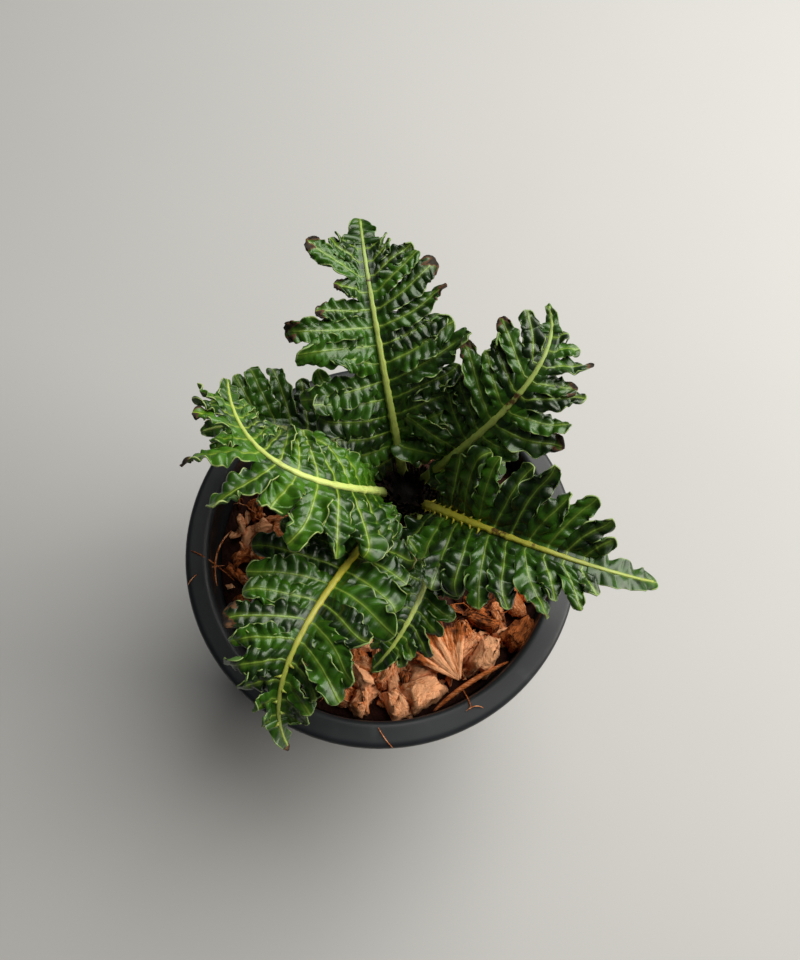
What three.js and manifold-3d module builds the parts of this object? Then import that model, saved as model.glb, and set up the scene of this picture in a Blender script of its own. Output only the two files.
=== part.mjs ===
// A crisped fern in a plastic nursery pot: seven leathery fronds, each a wavy blade cut into lobes along a
// raised pale midrib, on a short scaly crown that stands in husk chips over potting mix.
// Millimetres, +Z up. The origin is the centre of the pot's flat underside.
import * as THREE from 'three';
import { mergeVertices } from 'three/addons/utils/BufferGeometryUtils.js';
import Module from 'manifold-3d';

const wasm = await Module();
wasm.setup();

// Clearance that keeps two touching solids apart.
const SEAT_GAP = 0.3;

// The pot is a tapered cup with a wide rolled lip.
const POT = {
  height: 100,
  lipRadius: 60,
  lipWidth: 7.6,
  lipDepth: 11,
  lipRound: 1.6,
  lipFlare: 0.4,
  wall: 2.2,
  baseRadius: 43,
  baseRound: 1,
  floor: 3,
  sides: 44,
  drainCount: 6,
  drainRadius: 4,
  drainRing: 27,
  drainSides: 12,
};

// Potting mix fills the pot up to the husk layer; the husk layer's chips stand out of its top.
const MIX_TOP = 76;
const HUSK = { top: 87, sides: 40, count: 58, seed: 5, edge: 3.5, clearance: 1.3 };
const CHIP = {
  length: [10, 21],
  width: [6, 11],
  thickness: [2.2, 4.2],
  lift: 1.6,
  taper: 0.72,
  slant: 0.2,
  tilt: 16,
};

// The crown is a short stump, off the pot's centre, where every frond's stalk roots.
const CROWN = {
  x: 7,
  y: 14,
  foot: 66,
  shoulder: 101,
  top: 108,
  radius: 10.5,
  sides: 14,
  rootRing: 6.8,
  rootZ: 102,
};

// Blade and midrib sections shared by all fronds. wave is the height of the ripple along a lobe's edges, and
// crowding makes the lobes narrower towards the tip.
const BLADE = {
  thickness: 0.7,
  web: 1.9,
  stepLength: 3.7,
  fill: 0.91,
  wave: 0.8,
  shingle: 13,
  leanTip: 50,
  crowding: 0.25,
  endSteps: 5,
};
const RIB = { baseWidth: 1.55, tipWidth: 0.5, baseHeight: 1.2, tipHeight: 0.42, sides: 6, stalkSteps: 4 };

// Each frond arches from its root on the crown through shoulder and crest to its tip. rootAngle is its
// place round the crown, bare is the share of its length with no lobes, and roll turns the blade about its
// midrib, in degrees. end is the undivided end of the blade: its share of the length, and its half width
// where it starts and at the tip. near and far are the two sides: lean is a lobe's angle to the midrib at
// the blade's base, rise and droop are a lobe's slope at its root and at its end, and reach is lobe length
// at four places from base to tip.
const FRONDS = [
  {
    name: 'back', seed: 11, rootAngle: 92, pairs: 14, bare: 0.16, roll: 0,
    shoulder: [5, 15, 141], crest: [-3, 50, 168], tip: [-5, 73.5, 158],
    end: { share: 0.1, width: 3.4, tip: 1.8 },
    near: { lean: 84, rise: 20, droop: 0, reach: [6, 22, 15, 10] },
    far: { lean: 84, rise: 8, droop: -12, reach: [9, 21, 18, 8] },
  },
  {
    name: 'left', seed: 28, rootAngle: 172, pairs: 13, bare: 0.19, roll: 22,
    shoulder: [2, -2, 158], crest: [-32, -8, 164], tip: [-41, 34, 142],
    end: { share: 0.1, width: 3, tip: 0.8 },
    near: { lean: 98, rise: 4, droop: -22, reach: [8, 19, 17, 7] },
    far: { lean: 78, rise: 4, droop: -26, reach: [7, 14, 12, 6] },
  },
  {
    name: 'front_left', seed: 37, rootAngle: 226, pairs: 11, bare: 0.24, roll: 0,
    shoulder: [-5, -14, 139], crest: [-30.5, -44, 152], tip: [-23, -60, 120],
    end: { share: 0.12, width: 3.2, tip: 0.8 },
    near: { lean: 84, rise: 20, droop: -2, reach: [12, 20, 16, 4] },
    far: { lean: 78, rise: 20, droop: -2, reach: [17, 22, 15, 6] },
  },
  {
    name: 'front', seed: 41, rootAngle: 282, pairs: 7, bare: 0.42, roll: 0,
    shoulder: [24, 0, 122], crest: [8, -34, 128], tip: [-2, -40, 116],
    end: { share: 0.13, width: 2.4, tip: 1.2 },
    near: { lean: 80, rise: 4, droop: -18, reach: [9, 11, 9, 4] },
    far: { lean: 80, rise: 4, droop: -18, reach: [9, 10, 8, 5] },
  },
  {
    name: 'right', seed: 53, rootAngle: 334, pairs: 10, bare: 0.14, roll: 0,
    shoulder: [14, 3.5, 127], crest: [43, -20.5, 156], tip: [70, -21, 139],
    end: { share: 0.21, width: 3.8, tip: 1.6 },
    near: { lean: 80, rise: 38, droop: 18, reach: [4, 19, 19, 7] },
    far: { lean: 80, rise: 6, droop: -14, reach: [9, 20, 18, 6] },
  },
  {
    name: 'back_right', seed: 68, rootAngle: 42, pairs: 11, bare: 0.24, roll: 0,
    shoulder: [20, 13, 143], crest: [48, 24, 164], tip: [45, 51, 152],
    end: { share: 0.12, width: 2.4, tip: 0.6 },
    near: { lean: 80, rise: 12, droop: -6, reach: [5, 16, 14, 5] },
    far: { lean: 80, rise: -14, droop: -32, reach: [5, 9, 16, 5] },
  },
  {
    name: 'back_left', seed: 79, rootAngle: 132, pairs: 9, bare: 0.22, roll: 0,
    shoulder: [-6, 26, 122], crest: [-36, 28, 134], tip: [-52, 27, 122],
    end: { share: 0.13, width: 3, tip: 0.8 },
    near: { lean: 84, rise: 2, droop: -14, reach: [8, 13, 12, 7] },
    far: { lean: 84, rise: 12, droop: 4, reach: [10, 19, 17, 9] },
  },
];

const COLOURS = {
  pot: 0x24272b,
  mix: 0x2b1a10,
  husk: 0x9a5228,
  crown: 0x3a2415,
  blade: 0x14420f,
  rib: 0xa9b84a,
};

const DEG = Math.PI / 180;
const lerp = (a, b, t) => a + (b - a) * t;
const clamp01 = (x) => Math.min(1, Math.max(0, x));
const smooth = (x) => clamp01(x) ** 2 * (3 - 2 * clamp01(x));
const at = (list) => new THREE.Vector3(...list);

// A repeatable draw in -1..1 for draw number k of a seed.
function draw(seed, k) {
  const x = Math.sin(seed * 12.9898 + k * 78.233) * 43758.5453;
  return 2 * (x - Math.floor(x)) - 1;
}

const drawIn = ([low, high], seed, k) => lerp(low, high, (draw(seed, k) + 1) / 2);

// Closed surface from a list of vertices and triangles.
function surface(points, triangles) {
  const geometry = new THREE.BufferGeometry();
  const coordinates = points.flatMap((p) => [p.x, p.y, p.z]);
  geometry.setAttribute('position', new THREE.Float32BufferAttribute(coordinates, 3));
  geometry.setIndex(triangles.flat());
  return geometry;
}

function toSolid(geometry) {
  const bare = geometry.clone();
  bare.deleteAttribute('normal');
  bare.deleteAttribute('uv');
  const merged = mergeVertices(bare, 1e-4);
  return new wasm.Manifold(new wasm.Mesh({
    numProp: 3,
    vertProperties: merged.attributes.position.array,
    triVerts: new Uint32Array(merged.index.array),
  }));
}

function fromSolid(solid) {
  const mesh = solid.getMesh();
  const positions = new Float32Array(mesh.numVert * 3);
  for (let i = 0; i < mesh.numVert; i++) {
    positions.set(mesh.vertProperties.subarray(i * mesh.numProp, i * mesh.numProp + 3), i * 3);
  }
  const geometry = new THREE.BufferGeometry();
  geometry.setAttribute('position', new THREE.BufferAttribute(positions, 3));
  geometry.setIndex(new THREE.BufferAttribute(mesh.triVerts, 1));
  return geometry;
}

// Solid of revolution about Z from an (r, z) profile listed anticlockwise in the r-z plane.
function turned(profile, sides) {
  const geometry = new THREE.LatheGeometry(profile.map(([r, z]) => new THREE.Vector2(r, z)), sides);
  return geometry.rotateX(Math.PI / 2);
}

// Skins a run of closed rings, all with the same number of points, and caps both ends.
function loft(rings) {
  const count = rings[0].length;
  const points = rings.flat();
  const triangles = [];
  for (let k = 0; k + 1 < rings.length; k++) {
    for (let i = 0; i < count; i++) {
      const j = (i + 1) % count;
      const [a, b, c, d] = [k * count + i, k * count + j, (k + 1) * count + i, (k + 1) * count + j];
      triangles.push([a, b, d], [a, d, c]);
    }
  }
  const last = (rings.length - 1) * count;
  for (let i = 1; i + 1 < count; i++) {
    triangles.push([0, i + 1, i], [last, last + i, last + i + 1]);
  }
  return surface(points, triangles);
}

// The inner radius of the pot's wall at height z.
function innerRadius(z) {
  const neck = POT.lipRadius - POT.lipWidth + POT.wall;
  const outer = lerp(POT.baseRadius, neck, z / (POT.height - POT.lipDepth));
  return Math.min(outer - POT.wall, POT.lipRadius - POT.lipWidth);
}

function potGeometry() {
  const { height, lipRadius, lipWidth, lipDepth, lipRound, lipFlare, wall } = POT;
  const { baseRadius, baseRound, floor } = POT;
  const neck = lipRadius - lipWidth + wall;
  const body = turned([
    [0, 0],
    [baseRadius - baseRound, 0],
    [baseRadius, baseRound],
    [neck, height - lipDepth],
    [neck, height - 2 * wall],
    [lipRadius - wall, height - 2 * wall],
    [lipRadius - wall, height - lipDepth],
    [lipRadius - lipFlare, height - lipDepth],
    [lipRadius, height - lipRound],
    [lipRadius - lipRound, height],
    [lipRadius - lipWidth + lipRound, height],
    [lipRadius - lipWidth, height - lipRound],
    [neck - wall, height - lipDepth],
    [innerRadius(floor), floor],
    [0, floor],
  ], POT.sides);
  let solid = toSolid(body);
  for (let i = 0; i < POT.drainCount; i++) {
    const angle = (i / POT.drainCount) * 2 * Math.PI;
    const hole = new THREE.CylinderGeometry(POT.drainRadius, POT.drainRadius, 4 * floor, POT.drainSides);
    hole.rotateX(Math.PI / 2);
    hole.translate(POT.drainRing * Math.cos(angle), POT.drainRing * Math.sin(angle), 0);
    solid = solid.subtract(toSolid(hole));
  }
  return fromSolid(solid);
}

// The crown's stump as an (r, z) outline, grown outwards by clearance.
function crownOutline(clearance) {
  const { foot, shoulder, top, radius } = CROWN;
  return [
    [0, foot - clearance],
    [radius * 0.8 + clearance, foot - clearance],
    [radius + clearance, foot + 0.6 * radius],
    [radius * 0.92 + clearance, HUSK.top],
    [radius + clearance, shoulder - 0.6 * radius],
    [radius * 0.86 + clearance, shoulder + 2],
    [radius * 0.45 + clearance, top - 1 + clearance],
    [0, top + clearance],
  ];
}

function crownSolid(clearance) {
  const geometry = turned(crownOutline(clearance), CROWN.sides);
  return toSolid(geometry.translate(CROWN.x, CROWN.y, 0));
}

function mixGeometry() {
  const floor = POT.floor + SEAT_GAP;
  const disc = turned([
    [0, floor],
    [innerRadius(floor) - SEAT_GAP, floor],
    [innerRadius(MIX_TOP) - SEAT_GAP, MIX_TOP],
    [0, MIX_TOP],
  ], HUSK.sides);
  return fromSolid(toSolid(disc).subtract(crownSolid(SEAT_GAP)));
}

// One husk chip: a wedge-ended slab with a slanted top, turned and tipped where it lies.
function chipSolid(k) {
  const length = drawIn(CHIP.length, HUSK.seed, 7 * k);
  const width = drawIn(CHIP.width, HUSK.seed, 7 * k + 1);
  const thickness = drawIn(CHIP.thickness, HUSK.seed, 7 * k + 2);
  const slab = new THREE.BoxGeometry(length, width, thickness);
  const corner = slab.attributes.position;
  for (let i = 0; i < corner.count; i++) {
    const upper = corner.getZ(i) > 0 ? CHIP.taper : 1;
    const slant = corner.getX(i) > 0 ? 1 - CHIP.slant * (1 - draw(HUSK.seed, 7 * k + 3)) : 1;
    corner.setXYZ(i, corner.getX(i) * upper, corner.getY(i) * upper * slant, corner.getZ(i));
  }
  // A sunflower spiral spreads the chips evenly over the layer.
  const share = (k + 0.5) / HUSK.count;
  const reach = (innerRadius(HUSK.top) - HUSK.edge - length / 3) * Math.sqrt(share);
  const turn = k * Math.PI * (3 - Math.sqrt(5));
  const tilt = CHIP.tilt * DEG;
  slab.rotateX(tilt * draw(HUSK.seed, 7 * k + 4));
  slab.rotateY(tilt * draw(HUSK.seed, 7 * k + 5));
  slab.rotateZ(Math.PI * draw(HUSK.seed, 7 * k + 6));
  const rest = HUSK.top + CHIP.lift * draw(HUSK.seed, 7 * k + 7);
  slab.translate(reach * Math.cos(turn), reach * Math.sin(turn), rest);
  return toSolid(slab);
}

function huskGeometry() {
  const floor = MIX_TOP + SEAT_GAP;
  const layer = toSolid(turned([
    [0, floor],
    [innerRadius(floor) - SEAT_GAP, floor],
    [innerRadius(HUSK.top) - SEAT_GAP, HUSK.top],
    [0, HUSK.top],
  ], HUSK.sides));
  const bounds = toSolid(turned([
    [0, floor],
    [innerRadius(floor) - SEAT_GAP, floor],
    [innerRadius(POT.height) - HUSK.clearance, POT.height],
    [0, POT.height],
  ], HUSK.sides));
  const chips = [];
  for (let k = 0; k < HUSK.count; k++) {
    chips.push(chipSolid(k));
  }
  const heap = wasm.Manifold.union([layer, ...chips]).intersect(bounds);
  return fromSolid(heap.subtract(crownSolid(SEAT_GAP)));
}

// The midrib's curve, as a function from the share of its length to the point there, the tangent, the blade's
// upward normal and its sideways direction.
function midrib(frond) {
  const angle = frond.rootAngle * DEG;
  const root = new THREE.Vector3(
    CROWN.x + CROWN.rootRing * Math.cos(angle),
    CROWN.y + CROWN.rootRing * Math.sin(angle),
    CROWN.rootZ,
  );
  const curve = new THREE.CubicBezierCurve3(root, at(frond.shoulder), at(frond.crest), at(frond.tip));
  const heading = at(frond.tip).sub(root).setZ(0).normalize();
  const skyward = new THREE.Vector3(0, 0, 1).addScaledVector(heading, -0.5);
  return (share) => {
    const point = curve.getPointAt(share);
    const along = curve.getTangentAt(share);
    const up = skyward.clone().addScaledVector(along, -along.dot(skyward)).normalize();
    up.applyAxisAngle(along, frond.roll * smooth(share / 0.3) * DEG);
    const side = new THREE.Vector3().crossVectors(along, up);
    return { point, along, up, side };
  };
}

// Value of an evenly spaced list at share q of its span.
function sample(list, q) {
  const x = clamp01(q) * (list.length - 1);
  const k = Math.min(Math.floor(x), list.length - 2);
  return lerp(list[k], list[k + 1], x - k);
}

// Place along the lobed part of a blade, spaced evenly at first and crowded towards the tip.
const crowded = (place) => place + BLADE.crowding * place * (1 - place);

// Width of a lobe along its length, as a share of its widest: a parallel strap with a blunt end.
const strap = (share) => 1 - 0.5 * clamp01((share - 0.7) / 0.3) ** 2;

// Room for a lobe between two places on the midrib: the smaller of that where it joins and that further out.
function lobeRoom(before, after, hand, length) {
  const gapAt = (reach) => {
    const a = before.point.clone().addScaledVector(before.side, hand * reach);
    return a.distanceTo(after.point.clone().addScaledVector(after.side, hand * reach));
  };
  return Math.min(gapAt(BLADE.web), gapAt(BLADE.web + 0.75 * length));
}

// Rows of three points (base-side edge, vein, tip-side edge) from the web out to the end of one lobe.
function lobeRows(frond, frames, hand, index) {
  const [before, frame, after] = frames;
  const side = hand < 0 ? frond.near : frond.far;
  const q = crowded((index + 0.5) / frond.pairs);
  const key = 2 * index + (hand > 0 ? 1 : 0);
  const length = sample(side.reach, q) * (1 + 0.08 * draw(frond.seed, key));
  const lean = lerp(side.lean, BLADE.leanTip, q ** 1.3) + draw(frond.seed, key + 50);
  const fall = side.droop + 5 * draw(frond.seed, key + 100);
  const curl = 40 * draw(frond.seed, key + 150);
  const half = 0.5 * lobeRoom(before, after, hand, length) * Math.sin(lean * DEG) * BLADE.fill;
  const steps = Math.max(3, Math.round(length / BLADE.stepLength));
  const centre = frame.point.clone().addScaledVector(frame.side, hand * BLADE.web);
  const rows = [];
  for (let j = 1; j <= steps; j++) {
    const middle = (j - 0.5) / steps;
    const share = j / steps;
    const angle = (lean - 9 * middle) * DEG;
    const slope = lerp(side.rise, fall, middle) * DEG;
    const out = frame.along.clone().multiplyScalar(Math.cos(angle) * Math.cos(slope))
      .addScaledVector(frame.side, hand * Math.sin(angle) * Math.cos(slope))
      .addScaledVector(frame.up, Math.sin(slope));
    centre.addScaledVector(out, length / steps);
    const normal = frame.up.clone().addScaledVector(out, -out.dot(frame.up)).normalize();
    const tilt = hand * (BLADE.shingle * smooth(share / 0.3) + curl * smooth((share - 0.55) / 0.45));
    normal.applyAxisAngle(out, tilt * DEG);
    const across = new THREE.Vector3().crossVectors(normal, out).multiplyScalar(hand);
    const ripple = j % 2 ? 1 : -1;
    const width = half * strap(share) * (1 + 0.05 * ripple);
    const height = BLADE.wave * ripple * strap(share);
    const back = j === steps ? -0.35 * width : 0;
    rows.push([-1, 0, 1].map((v) => centre.clone()
      .addScaledVector(across, v * width)
      .addScaledVector(out, v ? back : 0)
      .addScaledVector(normal, height * (v ? 1 : 0.2))));
  }
  return rows;
}

// Gives a sheet its thickness: the same triangles above and below, joined by a wall round the edge.
function thicken(points, triangles, thickness) {
  const normals = points.map(() => new THREE.Vector3());
  for (const [a, b, c] of triangles) {
    const face = new THREE.Vector3().crossVectors(
      points[b].clone().sub(points[a]),
      points[c].clone().sub(points[a]),
    );
    [a, b, c].forEach((i) => normals[i].add(face));
  }
  const shell = [0.5, -0.5].flatMap((share) => points.map((p, i) => p.clone()
    .addScaledVector(normals[i].clone().normalize(), share * thickness)));
  const n = points.length;
  const edges = new Set(triangles.flatMap(([a, b, c]) => [`${a},${b}`, `${b},${c}`, `${c},${a}`]));
  const faces = triangles.flatMap(([a, b, c]) => [[a, b, c], [a + n, c + n, b + n]]);
  for (const edge of edges) {
    const [a, b] = edge.split(',').map(Number);
    if (!edges.has(`${b},${a}`)) {
      faces.push([a, a + n, b + n], [a, b + n, b]);
    }
  }
  return surface(shell, faces);
}

// Shares of the midrib's length where the sheet has a row: two per lobe.
function bladeShares(frond) {
  const rows = 2 * frond.pairs;
  return Array.from({ length: rows + 1 }, (_, k) => lerp(frond.bare, 1 - frond.end.share, crowded(k / rows)));
}

// Shares where the undivided end of the blade has a row.
function endShares(frond) {
  const start = 1 - frond.end.share;
  return Array.from({ length: BLADE.endSteps }, (_, k) => lerp(start, 1, (k + 1) / BLADE.endSteps));
}

// Rows of the undivided end of the blade, left edge to right edge.
function endRows(frond, frameAt) {
  return endShares(frond).map((place, k) => {
    const share = (k + 1) / BLADE.endSteps;
    const frame = frameAt(place);
    const ripple = k % 2 ? -1 : 1;
    const width = lerp(frond.end.width, frond.end.tip, share ** 1.2) * (1 + 0.1 * ripple);
    return [-1, 0, 1].map((v) => frame.point.clone()
      .addScaledVector(frame.side, v * width)
      .addScaledVector(frame.up, v ? 0.5 * BLADE.wave * ripple * (1 - share) : 0));
  });
}

// A frond's blade: a web along the midrib, a lobe on each side between every second row, and the end.
function bladeGeometry(frond) {
  const frameAt = midrib(frond);
  const shares = bladeShares(frond);
  const points = [];
  const triangles = [];
  const add = (p) => points.push(p) - 1;
  const quad = (a, b, c, d) => triangles.push([a, b, c], [a, c, d]);
  const webRows = shares.map((share) => {
    const frame = frameAt(share);
    return [-1, 0, 1].map((v) => frame.point.clone().addScaledVector(frame.side, v * BLADE.web));
  });
  const rows = [...webRows, ...endRows(frond, frameAt)].map((row) => row.map(add));
  for (let k = 0; k + 1 < rows.length; k++) {
    quad(rows[k][0], rows[k][1], rows[k + 1][1], rows[k + 1][0]);
    quad(rows[k][1], rows[k][2], rows[k + 1][2], rows[k + 1][1]);
  }
  for (let i = 0; i < frond.pairs; i++) {
    const frames = shares.slice(2 * i, 2 * i + 3).map(frameAt);
    for (const hand of [-1, 1]) {
      let previous = [0, 1, 2].map((k) => rows[2 * i + k][hand > 0 ? 2 : 0]);
      for (const row of lobeRows(frond, frames, hand, i)) {
        const next = row.map(add);
        for (const k of [0, 1]) {
          if (hand > 0) {
            quad(previous[k], next[k], next[k + 1], previous[k + 1]);
          } else {
            quad(previous[k + 1], next[k + 1], next[k], previous[k]);
          }
        }
        previous = next;
      }
    }
  }
  return thicken(points, triangles, BLADE.thickness);
}

// Shares where the midrib has a ring: along the stalk, at the first row of each lobe, and in the blade's end.
function ribShares(frond) {
  const shares = [];
  for (let k = 0; k < RIB.stalkSteps; k++) {
    shares.push((frond.bare * k) / RIB.stalkSteps);
  }
  const lobed = bladeShares(frond).filter((_, k) => k % 2 === 0);
  return shares.concat(lobed, endShares(frond).slice(0, BLADE.endSteps - 2));
}

// Stalk and midrib lying on the blade's upper face, grown outwards by clearance.
function ribLoft(frond, shares, clearance) {
  const frameAt = midrib(frond);
  return loft(shares.map((share) => {
    const frame = frameAt(share);
    const wide = lerp(RIB.baseWidth, RIB.tipWidth, share) + clearance;
    const high = lerp(RIB.baseHeight, RIB.tipHeight, share);
    const centre = frame.point.clone().addScaledVector(frame.up, BLADE.thickness / 2 + SEAT_GAP + high);
    centre.addScaledVector(frame.along, share ? 0 : -clearance);
    return Array.from({ length: RIB.sides }, (_, i) => {
      const turn = (i / RIB.sides) * 2 * Math.PI;
      return centre.clone()
        .addScaledVector(frame.side, wide * Math.cos(turn))
        .addScaledVector(frame.up, -(high + clearance) * Math.sin(turn));
    });
  }));
}

// The crown has a socket for each stalk.
function crownGeometry() {
  let solid = crownSolid(0);
  for (const frond of FRONDS) {
    const stalk = ribShares(frond).slice(0, RIB.stalkSteps);
    solid = solid.subtract(toSolid(ribLoft(frond, stalk, SEAT_GAP)));
  }
  return fromSolid(solid);
}

function piece(name, geometry, color, roughness) {
  const material = new THREE.MeshStandardMaterial({ color, roughness, metalness: 0 });
  const mesh = new THREE.Mesh(geometry, material);
  mesh.name = name;
  return mesh;
}

const plant = new THREE.Group();
plant.add(piece('pot', potGeometry(), COLOURS.pot, 0.6));
plant.add(piece('potting_mix', mixGeometry(), COLOURS.mix, 1));
plant.add(piece('husk_chips', huskGeometry(), COLOURS.husk, 0.9));
plant.add(piece('crown', crownGeometry(), COLOURS.crown, 0.9));
for (const frond of FRONDS) {
  plant.add(piece(`frond_${frond.name}_blade`, bladeGeometry(frond), COLOURS.blade, 0.35));
  plant.add(piece(`frond_${frond.name}_rib`, ribLoft(frond, ribShares(frond), 0), COLOURS.rib, 0.45));
}

export default plant;
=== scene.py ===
"""Looks of a potted fern with crisped fronds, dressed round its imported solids.

Each sub-assembly is a class. Its sizes are fields in millimetres, and its methods work out surfaces
as whole arrays. Fronds, husk chips and crown repeat the rules and seeded draws of the solids that they
stand for, so that every finer piece keeps the form and the place of its solid.
"""
import logging
import math
from dataclasses import dataclass, field
from enum import Enum

import bpy
import numpy as np
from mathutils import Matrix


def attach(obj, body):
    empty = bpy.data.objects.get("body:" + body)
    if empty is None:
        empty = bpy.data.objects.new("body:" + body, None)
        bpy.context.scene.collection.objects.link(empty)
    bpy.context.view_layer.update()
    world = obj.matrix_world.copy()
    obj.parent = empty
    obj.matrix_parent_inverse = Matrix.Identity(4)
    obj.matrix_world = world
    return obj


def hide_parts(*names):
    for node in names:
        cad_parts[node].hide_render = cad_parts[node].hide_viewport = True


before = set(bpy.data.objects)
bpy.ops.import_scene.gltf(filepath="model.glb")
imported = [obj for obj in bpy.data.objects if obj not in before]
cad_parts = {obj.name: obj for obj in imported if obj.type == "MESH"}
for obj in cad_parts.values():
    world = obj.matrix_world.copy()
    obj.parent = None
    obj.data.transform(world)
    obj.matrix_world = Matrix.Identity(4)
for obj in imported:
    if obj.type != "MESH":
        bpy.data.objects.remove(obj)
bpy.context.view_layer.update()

MM = 0.001
GOLDEN_TURN = math.pi * (3 - math.sqrt(5))

Array = np.ndarray
Colour = tuple[float, float, float, float]
Socket = bpy.types.NodeSocket
log = logging.getLogger("fern")


def draw(seed: float, k: Array | float) -> Array:
    """Repeatable draw in -1..1: twice the fraction of a large sine of the seed and the number, less 1.

    Args:
        seed: the seed.
        k: number or numbers of the draws.

    Returns:
        One value for each k.
    """
    x = np.sin(seed * 12.9898 + np.asarray(k, float) * 78.233) * 43758.5453
    return 2 * (x - np.floor(x)) - 1


def lerp(a: Array | float, b: Array | float, t: Array | float) -> Array:
    """Value at share t of the way from a to b."""
    return a + (b - a) * t


def smooth(x: Array | float) -> Array:
    """Eased step: 0 below 0, 1 above 1, and three squares less two cubes between."""
    c = np.clip(x, 0, 1)
    return c * c * (3 - 2 * c)


def squared_off(x: Array) -> Array:
    """Root of the size of x, with the sign of x: it makes a ball's sections square."""
    return np.sign(x) * np.abs(x) ** 0.5


def full_turn(count: int) -> Array:
    """So many angles evenly round a circle, from 0."""
    return np.linspace(0, 2 * np.pi, count, endpoint=False)


def stacked(*parts: Array | float) -> Array:
    """Arrays and numbers shaped to fit each other and put side by side along a new last axis."""
    return np.stack(np.broadcast_arrays(*parts), -1)


def sample(values: tuple[float, ...], q: Array) -> Array:
    """Value of an evenly spaced list at share q of its span."""
    return np.interp(np.clip(q, 0, 1) * (len(values) - 1), np.arange(len(values)), values)


def column(a: Array) -> Array:
    """One value for each lobe or block, shaped to fit its rows and columns."""
    return a[:, None, None]


def dot(a: Array, b: Array) -> Array:
    """Dot product along the last axis, which is kept with length 1."""
    return (a * b).sum(-1, keepdims=True)


def unit(v: Array) -> Array:
    """Vectors of length 1 in the directions of v."""
    return v / np.maximum(np.linalg.norm(v, axis=-1, keepdims=True), 1e-12)


def turned_about(v: Array, axis: Array, angle: Array) -> Array:
    """Vectors turned about unit axes by angles in radians.

    Each is v times the cosine, plus axis x v times the sine, plus the axis times axis.v times one less
    the cosine.

    Args:
        v: the vectors.
        axis: unit axes.
        angle: angles, with one axis fewer than v.

    Returns:
        The turned vectors.
    """
    c, s = np.cos(angle)[..., None], np.sin(angle)[..., None]
    return v * c + np.cross(axis, v) * s + axis * dot(axis, v) * (1 - c)


def wander(x: Array, seed: float, period: float, waves: int = 4) -> Array:
    """Smooth random value near -1..1 along x: a few sines of falling period with seeded phases.

    Args:
        x: places, in the units of period.
        seed: the seed.
        period: longest period.
        waves: number of sines; the fewer, the smoother.

    Returns:
        One value for each x.
    """
    total = 0.0
    for k in range(waves):
        phase = math.pi * draw(seed, k + 0.5)
        total = total + np.sin(2 * math.pi * x / (period * 0.62 ** k) + phase) * 0.8 ** k
    return total / math.sqrt(waves)


def paint(code: str) -> Colour:
    """Scene-linear colour of a screen colour written as six hexadecimal digits.

    Args:
        code: the six digits, two each for red, green and blue.

    Returns:
        Red, green, blue and full cover.
    """
    screen = np.array([int(code[i:i + 2], 16) for i in (0, 2, 4)]) / 255
    linear = np.where(screen <= 0.04045, screen / 12.92, ((screen + 0.055) / 1.055) ** 2.4)
    return (*linear.tolist(), 1.0)


def placed(name: str, data: bpy.types.ID) -> bpy.types.Object:
    """New object of a mesh, a light or a camera, put into the scene.

    Args:
        name: its name.
        data: what it shows.

    Returns:
        The object.
    """
    made = bpy.data.objects.new(name, data)
    bpy.context.scene.collection.objects.link(made)
    return made


@dataclass
class Skin:
    """Points, faces and painted values of one mesh, gathered part by part, in millimetres."""

    points: list[Array] = field(default_factory=list)
    faces: list[list[int]] = field(default_factory=list)
    values: dict[str, list[Array]] = field(default_factory=dict)
    count: int = 0

    def add(self, points: Array, faces: Array, **values: Array) -> None:
        """Adds one part.

        Args:
            points: its points, in rows of three.
            faces: its faces, as rows of point numbers of this part.
            **values: for each name, one number or vector for each point.
        """
        self.points.append(points.reshape(-1, 3))
        self.faces.extend((np.asarray(faces) + self.count).tolist())
        for name, value in values.items():
            self.values.setdefault(name, []).append(value)
        self.count += len(self.points[-1])

    def piece(self, name: str, material: bpy.types.Material, slot: str, *nodes: str) -> bpy.types.Object:
        """Makes the object, puts it on the part's body and lets it stand for its solids.

        Args:
            name: name of the piece.
            material: its finish.
            slot: the record's material slot; not used.
            *nodes: the solids it stands for.

        Returns:
            The object.
        """
        mesh = bpy.data.meshes.new(name)
        mesh.from_pydata(np.concatenate(self.points) * MM, [], self.faces)
        for key, parts in self.values.items():
            value = np.concatenate(parts).astype(np.float32)
            kind = "FLOAT" if value.ndim == 1 else "FLOAT_VECTOR"
            field_name = "value" if value.ndim == 1 else "vector"
            mesh.attributes.new(key, kind, "POINT").data.foreach_set(field_name, value.ravel())
        mesh.shade_smooth()
        mesh.materials.append(material)
        mesh.validate()
        made = placed(name, mesh)
        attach(made, "root")
        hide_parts(*nodes)
        return made


def report(piece: bpy.types.Object) -> None:
    """Logs a piece's name and size."""
    piece.data.calc_loop_triangles()
    log.info("%s: %d triangles", piece.name, len(piece.data.loop_triangles))


def grid_faces(rows: int, columns: int, wrap: bool = False) -> Array:
    """Quads of a grid of points numbered row by row; wrap joins the last column to the first.

    Args:
        rows: rows of the grid.
        columns: its columns.
        wrap: whether it closes on itself.

    Returns:
        Point numbers, four to a face.
    """
    r = np.arange(rows - 1)[:, None]
    c = np.arange(columns if wrap else columns - 1)[None, :]
    right = (c + 1) % columns
    corners = [r * columns + c, r * columns + right, (r + 1) * columns + right, (r + 1) * columns + c]
    return stacked(*corners).reshape(-1, 4)


def border(rows: int, columns: int) -> Array:
    """Point numbers round the edge of a grid: along the first row, down the last column and back.

    Args:
        rows: rows of the grid.
        columns: its columns.

    Returns:
        The point numbers.
    """
    first = np.arange(columns - 1)
    right = np.arange(rows - 1) * columns + columns - 1
    last = (rows - 1) * columns + np.arange(columns - 1, 0, -1)
    left = np.arange(rows - 1, 0, -1) * columns
    return np.concatenate([first, right, last, left])


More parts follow.
